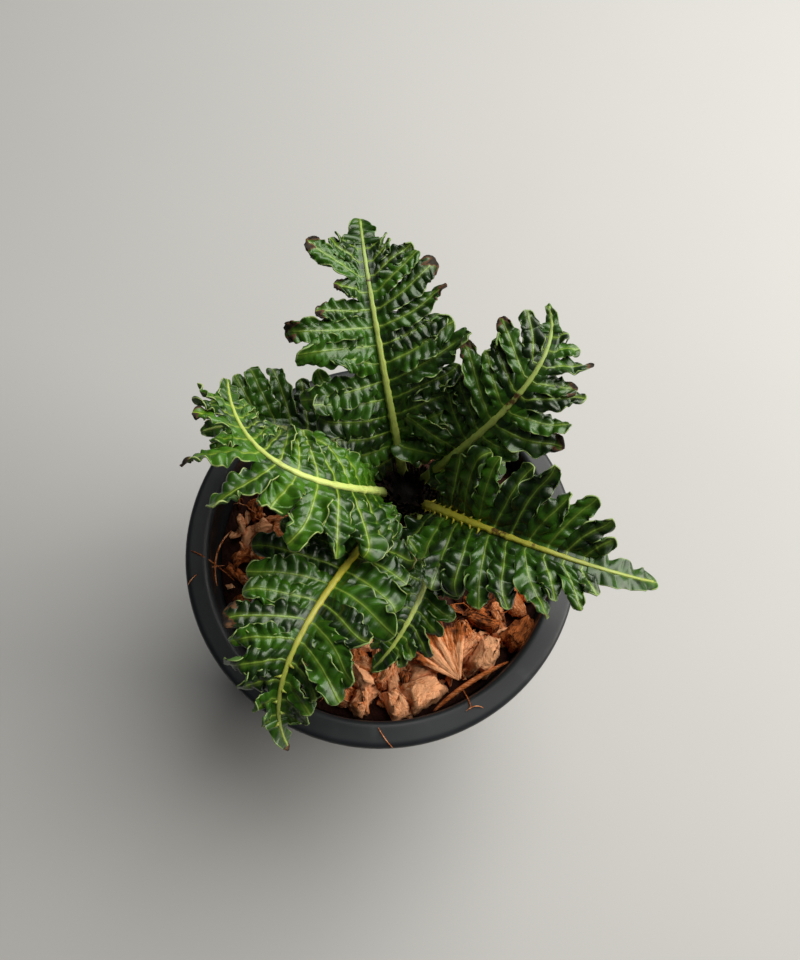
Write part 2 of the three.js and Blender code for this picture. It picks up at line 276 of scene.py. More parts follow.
def sheet_normals(grid: Array) -> Array:
    """Unit normals of grids (count, rows, columns, 3): row direction crossed with column direction."""
    return unit(np.cross(np.gradient(grid, axis=1), np.gradient(grid, axis=2)))


def closed_sheets(skin: Skin, grid: Array, facing: Array, thickness: Array,
                  values: dict[str, Array]) -> None:
    """Gives sheets a thickness and a rounded edge, and adds them to a skin.

    The two faces lie half the thickness each side of the grid along its normals. A loop of points round
    the edge, pushed out by a third of the thickness, joins them.

    Args:
        skin: gathers the sheets.
        grid: points (count, rows, columns, 3).
        facing: for each sheet, 1 where row direction x column direction is its upper side, else -1.
        thickness: thickness at each point, (count, rows, columns).
        values: painted values at each point, (count, rows, columns) or with one more axis.
    """
    count, rows, columns, _ = grid.shape
    normal = sheet_normals(grid) * facing[:, None, None, None]
    offset = normal * thickness[..., None] / 2
    edge = border(rows, columns)
    flat = grid.reshape(count, -1, 3)
    inner_row = np.clip(edge // columns, 1, rows - 2)
    inner_column = np.clip(edge % columns, 1, columns - 2)
    inside = flat[:, inner_row * columns + inner_column]
    depth = thickness.reshape(count, -1)[:, edge, None]
    loop = flat[:, edge] + unit(flat[:, edge] - inside) * depth * 0.35
    area, around = rows * columns, len(edge)
    upper_side, lower_side = ((grid + side * offset).reshape(count, -1, 3) for side in (1, -1))
    points = np.concatenate([upper_side, lower_side, loop], axis=1)
    upper = grid_faces(rows, columns)
    ring, after = np.arange(around), (np.arange(around) + 1) % around
    middle = 2 * area
    walls = np.concatenate([
        stacked(edge[ring], middle + ring, middle + after, edge[after]),
        stacked(middle + ring, area + edge[ring], area + edge[after], middle + after),
    ])
    faces = np.concatenate([upper, upper[:, ::-1] + area, walls])
    under = np.concatenate([np.zeros(area), np.ones(area), np.full(around, 0.5)])
    for i in range(count):
        painted = {}
        for name, value in values.items():
            own = value[i].reshape(area, *value.shape[3:])
            painted[name] = np.concatenate([own, own, own[edge]])
        turned = faces if facing[i] > 0 else faces[:, ::-1]
        skin.add(points[i], turned, under=under, **painted)


def around_axis(r: Array | float, z: Array | float, turn: Array, x: float = 0, y: float = 0) -> Array:
    """Points at radius r, height z and angle turn about the upright axis through (x, y)."""
    return stacked(x + r * np.cos(turn), y + r * np.sin(turn), z)


def tube(skin: Skin, rings: Array, values: dict[str, Array], clockwise: bool = False) -> None:
    """Adds a closed tube through rings of points.

    Args:
        skin: gathers the tube.
        rings: points (rings, sides, 3).
        values: painted values (rings, sides) or with one more axis.
        clockwise: whether each ring runs clockwise as seen from the ring after it.
    """
    step = 1 if clockwise else -1
    count, sides, _ = rings.shape
    painted = {}
    for name, value in values.items():
        painted[name] = value[:, ::step].reshape(count * sides, *value.shape[2:])
    skin.add(rings[:, ::step], grid_faces(count, sides, wrap=True)[:, ::-1], **painted)
    first = skin.count - count * sides
    skin.faces.append((first + np.arange(sides)).tolist())
    skin.faces.append((first + (count - 1) * sides + np.arange(sides)[::-1]).tolist())


class Finish:
    """Writer of one material's nodes."""

    def __init__(self, name: str) -> None:
        """Starts a material of that name with its shader.

        Args:
            name: its name.
        """
        self.material = bpy.data.materials.new(name)
        self.material.use_nodes = True
        self.tree = self.material.node_tree
        self.shader = self.tree.nodes["Principled BSDF"]
        self.place = self.node("TexCoord", {}).outputs["Object"]

    def put(self, socket: Socket, value: Socket | float | Colour) -> None:
        """Links a socket to another, or sets its value.

        Args:
            socket: the socket.
            value: another socket, or a number, vector or colour.
        """
        if isinstance(value, bpy.types.NodeSocket):
            self.tree.links.new(value, socket)
        else:
            socket.default_value = value

    def shade(self, **inputs: Socket | float | Colour) -> None:
        """Sets the shader's inputs, named with underscores for spaces."""
        for name, value in inputs.items():
            self.put(self.shader.inputs[name.replace("_", " ")], value)

    def node(self, kind: str, inputs: dict[str | int, Socket | float | Colour],
             **settings: str) -> bpy.types.Node:
        """Adds a node to the material.

        Args:
            kind: its type, without the word ShaderNode.
            inputs: what goes into its sockets, by their names or numbers.
            **settings: its properties.

        Returns:
            The node.
        """
        made = self.tree.nodes.new("ShaderNode" + kind)
        for name, setting in settings.items():
            setattr(made, name, setting)
        for name, value in inputs.items():
            self.put(made.inputs[name], value)
        return made

    def math(self, operation: str, a: Socket | float, b: Socket | float = 0.0) -> Socket:
        """One step of arithmetic on one or two values."""
        return self.node("Math", {0: a, 1: b}, operation=operation).outputs[0]

    def mix(self, share: Socket | float, a: Socket | Colour, b: Socket | Colour) -> Socket:
        """Colour at a share of the way from a to b."""
        return self.node("Mix", {0: share, 6: a, 7: b}, data_type="RGBA").outputs[2]

    def rise(self, value: Socket, low: float, high: float,
             to: tuple[float, float] = (0.0, 1.0)) -> Socket:
        """Eased step of a value between low and high, as a value between the two of to."""
        limits = {"Value": value, "From Min": low, "From Max": high, "To Min": to[0], "To Max": to[1]}
        return self.node("MapRange", limits, interpolation_type="SMOOTHSTEP").outputs["Result"]

    def noise(self, scale: float, detail: float = 3.0, stretch: tuple[float, float, float] | None = None,
              vector: Socket | None = None) -> Socket:
        """Cloudy noise.

        Args:
            scale: blobs to a metre, or to a unit of the vector.
            detail: octaves of finer noise.
            stretch: multiplies the place before it is read.
            vector: place to read it at; the piece's own place where it isn't given.

        Returns:
            The noise, 0 to 1.
        """
        place = vector or self.place
        if stretch:
            place = self.node("Mapping", {"Vector": place, "Scale": stretch}).outputs["Vector"]
        return self.node("TexNoise", {"Vector": place, "Scale": scale, "Detail": detail}).outputs[0]

    def cells(self, scale: float) -> Socket:
        """Distance to the nearest of so many scattered points a metre."""
        return self.node("TexVoronoi", {"Vector": self.place, "Scale": scale}).outputs["Distance"]

    def painted(self, name: str) -> Socket:
        """A painted value of the piece."""
        return self.node("Attribute", {}, attribute_name=name).outputs["Fac"]

    def painted_vector(self, name: str) -> Socket:
        """A painted vector of the piece."""
        return self.node("Attribute", {}, attribute_name=name).outputs["Vector"]

    def painted_parts(self, name: str) -> tuple[Socket, Socket, Socket]:
        """The three parts of a painted vector of the piece."""
        return tuple(self.node("SeparateXYZ", {0: self.painted_vector(name)}).outputs)

    def bump(self, height: Socket, distance: float, strength: float = 1.0,
             under: Socket | None = None) -> Socket:
        """Relief from a height of 0 to 1.

        Args:
            height: the height.
            distance: depth of the relief, in millimetres.
            strength: share of the relief that shows.
            under: relief that it lies over, if any.

        Returns:
            The relief, for the shader's normal.
        """
        inputs = {"Strength": strength, "Distance": distance * MM, "Height": height}
        if under is not None:
            inputs["Normal"] = under
        return self.node("Bump", inputs).outputs[0]


@dataclass(frozen=True)
class BladeFinish:
    """Leathery blade: dark green, pale along the midvein and the margin, brown where it died."""

    name: str
    deep: str = "0a1e02"
    fresh: str = "305a08"
    vein: str = "7a9636"
    margin: str = "8aa05c"
    underside: str = "436327"
    dead: str = "5a3a22"
    scorched: str = "231712"

    def material(self) -> bpy.types.Material:
        """Builds the material.

        Returns:
            The material. It reads leaf_mm (distance across from the midvein, distance in from the margin,
            distance along the lobe) and leaf_kind (side vein count, tone, brownness).
        """
        f = Finish(self.name)
        across, edge, along = f.painted_parts("leaf_mm")
        phase, tone, brown = f.painted_parts("leaf_kind")
        offside = f.math("ABSOLUTE", across)
        cloud = f.noise(260, 4)
        mottle = f.math("ADD", f.math("MULTIPLY", tone, 0.22), cloud)
        green = f.mix(f.rise(mottle, 0.25, 0.8), paint(self.deep), paint(self.fresh))
        crease = f.math("ABSOLUTE", f.math("SINE", f.math("MULTIPLY", phase, math.pi)))
        side_vein = f.rise(crease, 0.0, 0.3, (0.4, 0.0))
        green = f.mix(side_vein, green, paint(self.fresh))
        green = f.mix(f.rise(offside, 0.2, 1.1, (0.25, 0.0)), green, paint(self.vein))
        green = f.mix(f.painted("under"), green, paint(self.underside))
        narrowed = f.math("MULTIPLY", offside, f.rise(along, 2.0, 20.0, (1.0, 2.2)))
        midvein = f.rise(narrowed, 0.12, 0.36, (0.8, 0.0))
        green = f.mix(midvein, green, paint(self.vein))
        rim = f.rise(edge, 0.04, 0.16, (0.75, 0.0))
        green = f.mix(rim, green, paint(self.margin))
        patchy = f.math("ADD", brown, f.math("MULTIPLY", f.math("SUBTRACT", cloud, 0.5), 0.5))
        green = f.mix(f.rise(patchy, 0.4, 0.55), green, paint(self.dead))
        green = f.mix(f.rise(patchy, 0.65, 0.95), green, paint(self.scorched))
        grain = f.bump(f.noise(1900, 2), 0.012, 0.6)
        stripes = f.math("SINE", f.math("MULTIPLY", phase, 8 * math.pi))
        grain = f.bump(f.rise(stripes, -1.0, 1.0), 0.02, 0.5, grain)
        relief = f.bump(f.rise(offside, 0.05, 0.35, (0.0, 1.0)), 0.09, 0.8, grain)
        f.shade(Base_Color=green, Normal=relief, Specular_Tint=paint("ecf8e6"))
        dry = f.rise(patchy, 0.4, 0.6, (0.0, 0.45))
        dry = f.math("MAXIMUM", dry, f.math("MULTIPLY", f.painted("under"), 0.3))
        f.shade(Roughness=f.math("ADD", f.rise(f.noise(500, 3), 0.2, 0.8, (0.3, 0.42)), dry))
        f.shade(Coat_Weight=f.rise(dry, 0.0, 0.3, (0.2, 0.0)), Coat_Roughness=0.26)
        f.shade(Subsurface_Weight=0.08, Subsurface_Scale=0.0006)
        return f.material


@dataclass(frozen=True)
class RibFinish:
    """Smooth pale stalk and midrib: darkest at its foot, with brown scars and a painted highlight on top.
    """

    name: str
    foot: str
    stalk: str
    end: str
    scar: str = "4a2c14"

    def material(self) -> bpy.types.Material:
        """Builds the material, which reads rib_kind (share of the length, height on the rib, scars).

        Returns:
            The material.
        """
        f = Finish(self.name)
        share, height, scar = f.painted_parts("rib_kind")
        cloud = f.noise(420, 4)
        colour = f.mix(f.rise(share, 0.02, 0.34), paint(self.foot), paint(self.stalk))
        colour = f.mix(f.rise(share, 0.45, 0.95), colour, paint(self.end))
        # Painted highlight: pale yellow-green along the top of the rib, where the light falls.
        colour = f.mix(f.rise(height, 0.2, 1.0, (0.0, 0.16)), colour, paint("d3dc86"))
        colour = f.mix(f.rise(cloud, 0.5, 0.85, (0.0, 0.35)), colour, paint(self.foot))
        patchy = f.math("ADD", scar, f.math("MULTIPLY", f.math("SUBTRACT", f.noise(900, 4), 0.5), 0.9))
        colour = f.mix(f.rise(patchy, 0.45, 0.7), colour, paint(self.scar))
        streaks = f.noise(1.0, 4, (40.0, 5.0, 0.0), f.painted_vector("rib_kind"))
        colour = f.mix(f.rise(streaks, 0.5, 0.75, (0.0, 0.45)), colour, paint(self.foot))
        f.shade(Base_Color=colour, Normal=f.bump(streaks, 0.25, 0.6))
        f.shade(Roughness=f.rise(cloud, 0.2, 0.8, (0.38, 0.55)))
        f.shade(Coat_Weight=0.1, Coat_Roughness=0.3)
        f.shade(Subsurface_Weight=0.12, Subsurface_Scale=0.001)
        return f.material


@dataclass(frozen=True)
class HuskFinish:
    """Coconut husk: coarse fibres and pith, orange-brown with dark cracks."""

    name: str
    dark: str = "32150a"
    body: str = "c0682f"
    light: str = "ffb987"

    def material(self) -> bpy.types.Material:
        """Builds the material, which reads chip_tone and chip_mm (place in the chip's own axes).

        Returns:
            The material.
        """
        f = Finish(self.name)
        own = f.painted_vector("chip_mm")
        tone = f.painted("chip_tone")
        fibres = f.noise(1.0, 4, (0.22, 2.6, 2.6), own)
        clumps = f.noise(0.5, 3, None, own)
        mixed = f.math("ADD", f.math("MULTIPLY", fibres, 0.65), f.math("MULTIPLY", clumps, 0.35))
        mixed = f.math("ADD", mixed, f.math("MULTIPLY", tone, 0.16))
        colour = f.mix(f.rise(mixed, 0.27, 0.49), paint(self.dark), paint(self.body))
        colour = f.mix(f.rise(mixed, 0.48, 0.69), colour, paint(self.light))
        f.shade(Base_Color=colour, Roughness=0.85, Specular_IOR_Level=0.25)
        coarse = f.bump(clumps, 1.2, 0.7)
        f.shade(Normal=f.bump(fibres, 0.5, 0.7, coarse))
        return f.material


@dataclass(frozen=True)
class PlasticFinish:
    """Moulded satin plastic, near black with a cool tint, a fine grain, dust and faint scuffs."""

    name: str
    body: str = "1f2225"
    worn: str = "34383c"

    def material(self) -> bpy.types.Material:
        """Builds the material.

        Returns:
            The material.
        """
        f = Finish(self.name)
        dust = f.noise(55, 5)
        scuffs = f.noise(120, 6, (1.0, 1.0, 0.12))
        colour = f.mix(f.rise(dust, 0.45, 0.8, (0.0, 0.5)), paint(self.body), paint(self.worn))
        colour = f.mix(f.rise(scuffs, 0.62, 0.8, (0.0, 0.3)), colour, paint("4c4f52"))
        f.shade(Base_Color=colour, Normal=f.bump(f.noise(3200, 2), 0.03, 0.35))
        f.shade(Roughness=f.rise(dust, 0.25, 0.75, (0.36, 0.5)))
        f.shade(Specular_IOR_Level=0.45)
        return f.material


@dataclass(frozen=True)
class SoilFinish:
    """Damp peaty mix: dark crumbs and a few lighter specks."""

    name: str
    dark: str = "120b07"
    crumb: str = "38241a"

    def material(self) -> bpy.types.Material:
        """Builds the material.

        Returns:
            The material.
        """
        f = Finish(self.name)
        crumbs = f.cells(520)
        cloud = f.noise(900, 5)
        colour = f.mix(f.rise(cloud, 0.35, 0.7), paint(self.dark), paint(self.crumb))
        colour = f.mix(f.rise(crumbs, 0.0, 0.12, (0.5, 0.0)), colour, paint("5b412e"))
        f.shade(Base_Color=colour, Roughness=0.92, Normal=f.bump(crumbs, 1.0, 0.8, f.bump(cloud, 0.5)))
        return f.material


@dataclass(frozen=True)
class ScaleFinish:
    """Papery dark brown scales, darker in the middle and at the foot, and near black with painted shade.
    """

    name: str
    # Near black: the scales' own dark brown, deepened with painted shade of the crown's hollow under the
    # fronds.
    dark: str = "090604"
    light: str = "22160d"

    def material(self) -> bpy.types.Material:
        """Builds the material, which reads scale_kind (share along the scale, share across, tone).

        Returns:
            The material.
        """
        f = Finish(self.name)
        along, across, tone = f.painted_parts("scale_kind")
        streaks = f.noise(1400, 3)
        light = f.math("MULTIPLY", f.math("ABSOLUTE", across), 0.35)
        light = f.math("ADD", light, f.math("MULTIPLY", tone, 0.2))
        light = f.math("ADD", light, f.math("MULTIPLY", along, 0.45))
        light = f.math("MULTIPLY", light, f.rise(streaks, 0.2, 0.8, (0.5, 1.3)))
        colour = f.mix(f.rise(light, 0.05, 0.9), paint(self.dark), paint(self.light))
        f.shade(Base_Color=colour, Normal=f.bump(streaks, 0.15, 0.6))
        f.shade(Roughness=0.9, Specular_IOR_Level=0.15)
        return f.material


@dataclass(frozen=True)
class Frames:
    """Places on a midrib: point, tangent, the blade's upward normal and its sideways direction."""

    point: Array
    along: Array
    up: Array
    side: Array


class Mark(Enum):
    """What has happened to one lobe."""

    SCORCHED = "dark brown tip"
    BITTEN = "short and brown at its end"
    CURLED = "tip rolled up"


@dataclass(frozen=True)
class Side:
    """One side of a blade: lean and slopes in degrees, and lobe lengths at four places up the blade."""

    lean: float
    rise: float
    droop: float
    reach: tuple[float, float, float, float]


@dataclass(frozen=True)
class End:
    """The undivided end of a blade: its share of the length, and its half width at its start and its tip.

    point is 0 where it keeps its width for long and 1 where it narrows evenly, and brown is how far its
    tip has died.
    """

    share: float
    width: float
    tip: float
    point: float = 0.0
    brown: float = 0.0


@dataclass(frozen=True)
class Stray:
    """A lobe that leaves its side's rule.

    It is named by its pair and its hand, -1 on the near side and 1 on the far one. length is a multiple of
    the rule's, back how far it turns towards the blade's end, and raised how far it lifts, in degrees.
    """

    index: int
    hand: int
    length: float
    back: float = 0
    raised: float = 0


class Leaf(Enum):
    """Finish of a blade, by its material slot in the record."""

    DEEP = "fern_blade"
    BRIGHT = "fern_blade_bright"


class Tone(Enum):
    """Colour of a stalk and midrib, from its foot to its end."""

    OLIVE = ("827a00", "a19806", "8fa342")
    PALE = ("56631a", "98a74a", "8aa550")
    BRIGHT = ("6f8424", "c3d373", "a6b850")


@dataclass(frozen=True)
class Habit:
    """How one frond grows: the curve of its midrib and its two sides, as in the solids' source.

    root_angle is the place of its foot round the crown, and roll the turn of the blade about its midrib,
    both in degrees. bare is the share of the midrib below the first lobes, and shoulder, crest and tip are
    the poles of its curve. joined is the share of a lobe's length over which it is one sheet with the
    lobes beside it, on the near and on the far side, and closing how much more of it is joined at the
    blade's end. fill is the width of a lobe over the room that it has. pillow is the length of one pillow
    along a lobe, and relief the pillows' height on the near and on the far side. marks name lobes by pair
    and hand. scars are spans of the midrib, and teeth a span of it and the number of teeth there.
    """

    name: str
    seed: int
    root_angle: float
    pairs: int
    bare: float
    roll: float
    shoulder: tuple[float, float, float]
    crest: tuple[float, float, float]
    tip: tuple[float, float, float]
    end: End
    near: Side
    far: Side
    joined: tuple[float, float] = (0.3, 0.3)
    closing: float = 0.2
    fill: float = 1.15
    pillow: float = 3.6
    tone: Tone = Tone.PALE
    leaf: Leaf = Leaf.DEEP
    relief: tuple[float, float] = (1.0, 1.0)
    marks: tuple[tuple[int, int, Mark], ...] = ()
    strays: tuple[Stray, ...] = ()
    scars: tuple[tuple[float, float], ...] = ()
    teeth: tuple[float, float, int] = (0.0, 0.0, 0)


@dataclass(frozen=True)
class CrownPlan:
    """Where the crown stands and how big it is."""

    x: float = 7
    y: float = 14
    foot: float = 66
    shoulder: float = 101
    top: float = 108
    radius: float = 10.5
    root_ring: float = 6.8
    root_z: float = 102


class Midrib:
    """Cubic curve of a midrib, with root, shoulder, crest and tip as poles, read by share of length."""

    def __init__(self, habit: Habit, crown: CrownPlan) -> None:
        """Places the curve's four poles and measures it at 200 steps.

        Args:
            habit: how the frond grows.
            crown: where it grows from.
        """
        angle = math.radians(habit.root_angle)
        ring = crown.root_ring
        root = (crown.x + ring * math.cos(angle), crown.y + ring * math.sin(angle), crown.root_z)
        self.roll = math.radians(habit.roll)
        self.poles = np.array([root, habit.shoulder, habit.crest, habit.tip], float)
        self.steps = np.linspace(0, 1, 201)
        stretch = np.linalg.norm(np.diff(self._point(self.steps[:, None]), axis=0), axis=1)
        self.travel = np.concatenate([[0], np.cumsum(stretch)])
        self.length = float(self.travel[-1])

    def _point(self, t: Array) -> Array:
        """Point of the curve: its poles weighted by the four cubic blending polynomials of t."""
        a, b, c, d = self.poles
        return (1 - t) ** 3 * a + 3 * t * (1 - t) ** 2 * b + 3 * t * t * (1 - t) * c + t ** 3 * d

    def _pull(self, t: Array) -> Array:
        """Derivative of the curve: the steps between its poles weighted by the three quadratics of t."""
        a, b, c = np.diff(self.poles, axis=0)
        return 3 * ((1 - t) ** 2 * a + 2 * t * (1 - t) * b + t * t * c)

    def frames(self, shares: Array) -> Frames:
        """Frames at shares of the length: the normal leans back from the heading and turns by the roll.

        Args:
            shares: shares of the length, in any shape.

        Returns:
            The frames, with one more axis of three.
        """
        shares = np.asarray(shares, float)
        t = np.interp(shares * self.length, self.travel, self.steps)[..., None]
        along = unit(self._pull(t))
        heading = unit((self.poles[3] - self.poles[0]) * [1, 1, 0])
        skyward = np.array([0, 0, 1]) - 0.5 * heading
        level = unit(skyward - along * dot(along, skyward))
        up = turned_about(level, along, self.roll * smooth(shares / 0.3))
        return Frames(self._point(t), along, up, np.cross(along, up))


class Draws(Enum):
    """The seeded draws of a lobe, each by the number that is added to the lobe's own."""

    LENGTH = 0
    LEAN = 50
    FALL = 100
    CUP = 150
    TIP_CURL = 200
    SWAY = 250
    LAP = 350
    POINT = 400
    BROWN = 450
    TONE = 500
    FILL = 550
    CLEFT = 600
    SWAY_START = 650
    EDGE = 700
    REACH = 750
    LIFT = 800


@dataclass(frozen=True)
class Spine:
    """Centre line of every lobe and its outward, normal and across directions, each (lobes, rows, 3)."""

    centre: Array
    out: Array
    normal: Array
    across: Array


@dataclass(frozen=True)
class LobePlan:
    """Arrays that the steps of the lobes share, each shaped to fit (lobes, rows, columns).

    s and v are the shares along and across, and length and half the size of each lobe. free is 0 where a
    lobe is joined to its neighbours and 1 where it is free. height and phase are those of the pillows.
    point is 0 for a round end and more for a pointed one, wide the half width, and frayed a seeded wave
    along the margin.
    """

    s: Array
    v: Array
    length: Array
    half: Array
    free: Array
    height: Array
    phase: Array
    point: Array
    wide: Array
    frayed: Array


@dataclass
class Frond:
    """One frond: a blade cut into crisped lobes along a raised midrib.

    web is the half width of the strip along the midrib that all lobes share, and crowding how much closer
    the lobes stand towards the blade's end. lean_tip is the lobes' lean there. narrowest is the least half
    width of a lobe, open_end its width near its end over that at its middle, belly its swell past the
    cleft, and spring how far it may lie above or below its place. forwards, sway, tip_curl, rolled and cup
    are the angles through which a lobe turns along its length, and shingle the angle at which it laps over
    the next one. depth and frill are the heights of the pillows and of the margin's waves, fray and notch
    the shares by which the margin wanders and is scalloped, and round_off is the angle from the middle of
    a rounded end to its side.
    """

    habit: Habit
    crown: CrownPlan
    web: float = 1.9
    crowding: float = 0.25
    thickness: float = 0.42
    thin_edge: float = 0.35
    lean_tip: float = 50
    narrowest: float = 2.5
    open_end: float = 0.82
    belly: float = 0.16
    spring: float = 0.8
    forwards: float = 9
    fall_spread: float = 10
    sway: float = 22
    tip_curl: float = 60
    rolled: float = 80
    cup: float = 50
    shingle: float = 22
    shingle_spread: float = 8
    depth: float = 0.4
    frill: float = 1.0
    fray: float = 0.14
    notch: float = 0.05
    round_off: float = 86
    columns: int = 15
    rows_per_mm: float = 2.2
    end_columns: int = 17
    end_rows_per_mm: float = 2.6
    rib_base: tuple[float, float] = (1.7, 1.1)
    rib_tip: tuple[float, float] = (0.36, 0.3)
    rib_share: float = 0.985
    rib_rings: int = 150
    rib_sides: int = 16

    def __post_init__(self) -> None:
        """Lays the midrib and the values of every lobe, in arrays with one entry a lobe."""
        h = self.habit
        self.midrib = Midrib(h, self.crown)
        self.index = np.repeat(np.arange(h.pairs), 2)
        self.hand = np.tile([-1.0, 1.0], h.pairs)
        self.key = 2 * self.index + (self.hand > 0)
        self.q = self.crowded((self.index + 0.5) / h.pairs)
        rows = np.arange(2 * h.pairs + 1) / (2 * h.pairs)
        self.shares = lerp(h.bare, 1 - h.end.share, self.crowded(rows))
        self.stretch = np.ones(2 * h.pairs)
        self.turn = np.zeros(2 * h.pairs)
        self.raised = np.zeros(2 * h.pairs)
        for stray in h.strays:
            own = 2 * stray.index + (stray.hand > 0)
            self.stretch[own] = stray.length
            self.turn[own] = stray.back
            self.raised[own] = stray.raised

    def crowded(self, place: Array) -> Array:
        """Place along the lobed part: the even place, plus a share of place times the rest of the way."""
        return place + self.crowding * place * (1 - place)

    def drawn(self, which: Draws) -> Array:
        """One kind of draw for each lobe, in -1..1."""
        return draw(self.habit.seed, self.key + which.value)

    def side_value(self, name: str) -> Array:
        """A field of the two sides, one entry a lobe."""
        return np.where(self.hand < 0, getattr(self.habit.near, name), getattr(self.habit.far, name))

    def marked(self, mark: Mark) -> Array:
        """1 for each lobe that has this mark, else 0.

        Args:
            mark: the mark.

        Returns:
            One number for each lobe.
        """
        hits = np.zeros(len(self.index))
        for index, hand, kind in self.habit.marks:
            if kind is mark:
                hits[(self.index == index) & (self.hand == hand)] = 1
        return hits

    def lengths(self) -> Array:
        """Length of each lobe: its side's reach there, with seeded spreads of 8 and 12 in a hundred.

        Returns:
            One length for each lobe.
        """
        near, far = sample(self.habit.near.reach, self.q), sample(self.habit.far.reach, self.q)
        spread = 1 + 0.08 * self.drawn(Draws.LENGTH) + 0.12 * self.drawn(Draws.REACH)
        bitten = 1 - 0.45 * self.marked(Mark.BITTEN)
        return np.where(self.hand < 0, near, far) * spread * self.stretch * bitten

    def halves(self, length: Array, lean: Array) -> Array:
        """Half width of each lobe: half the room between its neighbours, where it joins or further out.

        The lesser of the two is taken, times the sine of the lean and the habit's fill.

        Args:
            length: lengths.
            lean: angles to the midrib, in degrees.

        Returns:
            One half width for each lobe, not under the narrowest or 0.3 of the length.
        """
        before = self.midrib.frames(self.shares[2 * self.index])
        after = self.midrib.frames(self.shares[2 * self.index + 2])
        room = []
        for reach in (self.web + 0 * length, self.web + 0.75 * length):
            out = (self.hand * reach)[:, None]
            gap = (before.point + before.side * out) - (after.point + after.side * out)
            room.append(np.linalg.norm(gap, axis=-1))
        fill = self.habit.fill * (1 + 0.14 * self.drawn(Draws.FILL))
        half = 0.5 * np.minimum(*room) * np.sin(np.radians(lean)) * fill
        return np.maximum(half, np.minimum(self.narrowest, 0.3 * length))

    def cleft(self) -> Array:
        """Share of each lobe's length that is joined to its neighbours, larger towards the blade's end.

        Returns:
            One share for each lobe.
        """
        near, far = self.habit.joined
        share = np.where(self.hand < 0, near, far) + self.habit.closing * smooth((self.q - 0.7) / 0.3)
        return np.clip(share + 0.1 * self.drawn(Draws.CLEFT), 0.01, 0.9)

    def with_neighbours(self, own: Array, v: Array) -> Array:
        """Values that run evenly into the neighbours' values.

        At the middle of a lobe the value is its own, and at either edge it is the mean with the lobe
        beside it on the same side of the midrib. The first and last lobes keep their own.

        Args:
            own: value for each lobe and row, (lobes, rows, ...).
            v: shares across, -1 to 1, one a column.

        Returns:
            Values (lobes, rows, columns, ...).
        """
        before = np.concatenate([own[:2], own[:-2]])
        after = np.concatenate([own[2:], own[-2:]])
        shape = (1, 1, len(v)) + (1,) * (own.ndim - 2)
        low, high = np.clip(-v, 0, 1).reshape(shape) / 2, np.clip(v, 0, 1).reshape(shape) / 2
        return own[:, :, None] * (1 - low - high) + before[:, :, None] * low + after[:, :, None] * high

    def spine(self, s: Array, length: Array, lean: Array) -> Spine:
        """Centre line of every lobe and its three directions.

        The direction starts at the lean from the midrib, turns forwards evenly and sways by a seeded sine.
        Its slope runs from rise to droop, and the tip's last quarter curls. The centre is its running sum
        by the trapezium rule. The normal tilts towards the lobe's base side by the shingle angle, so that
        each lobe lies over the one before it, and cups further past the middle.

        Args:
            s: shares of the lobe's length, one a row.
            length: lengths.
            lean: angles to the midrib, in degrees.

        Returns:
            The spines.
        """
        hand = self.hand[:, None]
        spot = self.midrib.frames(self.shares[2 * self.index + 1])
        rise = (self.side_value("rise") + self.raised)[:, None]
        droop = (self.side_value("droop") + self.raised)[:, None]
        fall = droop + self.fall_spread * self.drawn(Draws.FALL)[:, None]
        tip_curl = self.tip_curl * self.drawn(Draws.TIP_CURL) + self.rolled * self.marked(Mark.CURLED)
        wave = np.sin(5 * s + 2 * self.drawn(Draws.SWAY_START)[:, None]) * s
        sway = self.sway * self.drawn(Draws.SWAY)[:, None] * wave
        angle = np.radians(lean[:, None] - self.forwards * s + sway)[..., None]
        slope = lerp(rise, fall, s) + tip_curl[:, None] * smooth((s - 0.72) / 0.28)
        slope = np.radians(slope)[..., None]
        along, up, side = (v[:, None, :] for v in (spot.along, spot.up, spot.side))
        level = along * np.cos(angle) + side * hand[..., None] * np.sin(angle)
        out = level * np.cos(slope) + up * np.sin(slope)
        start = (spot.point + spot.side * hand * self.web)[:, None, :]
        pace = (out[:, 1:] + out[:, :-1]) / 2 * (np.diff(s) * length[:, None])[..., None]
        centre = start + np.concatenate([0 * start, np.cumsum(pace, axis=1)], axis=1)
        cup = self.cup * self.drawn(Draws.CUP)[:, None]
        lap = self.shingle + self.shingle_spread * self.drawn(Draws.LAP)[:, None]
        tilt = -hand * (lap * smooth(s / 0.12) + cup * smooth((s - 0.55) / 0.45))
        normal = turned_about(unit(up - out * dot(out, up)), out, np.radians(tilt))
        return Spine(centre, out, normal, np.cross(normal, out) * hand[..., None])

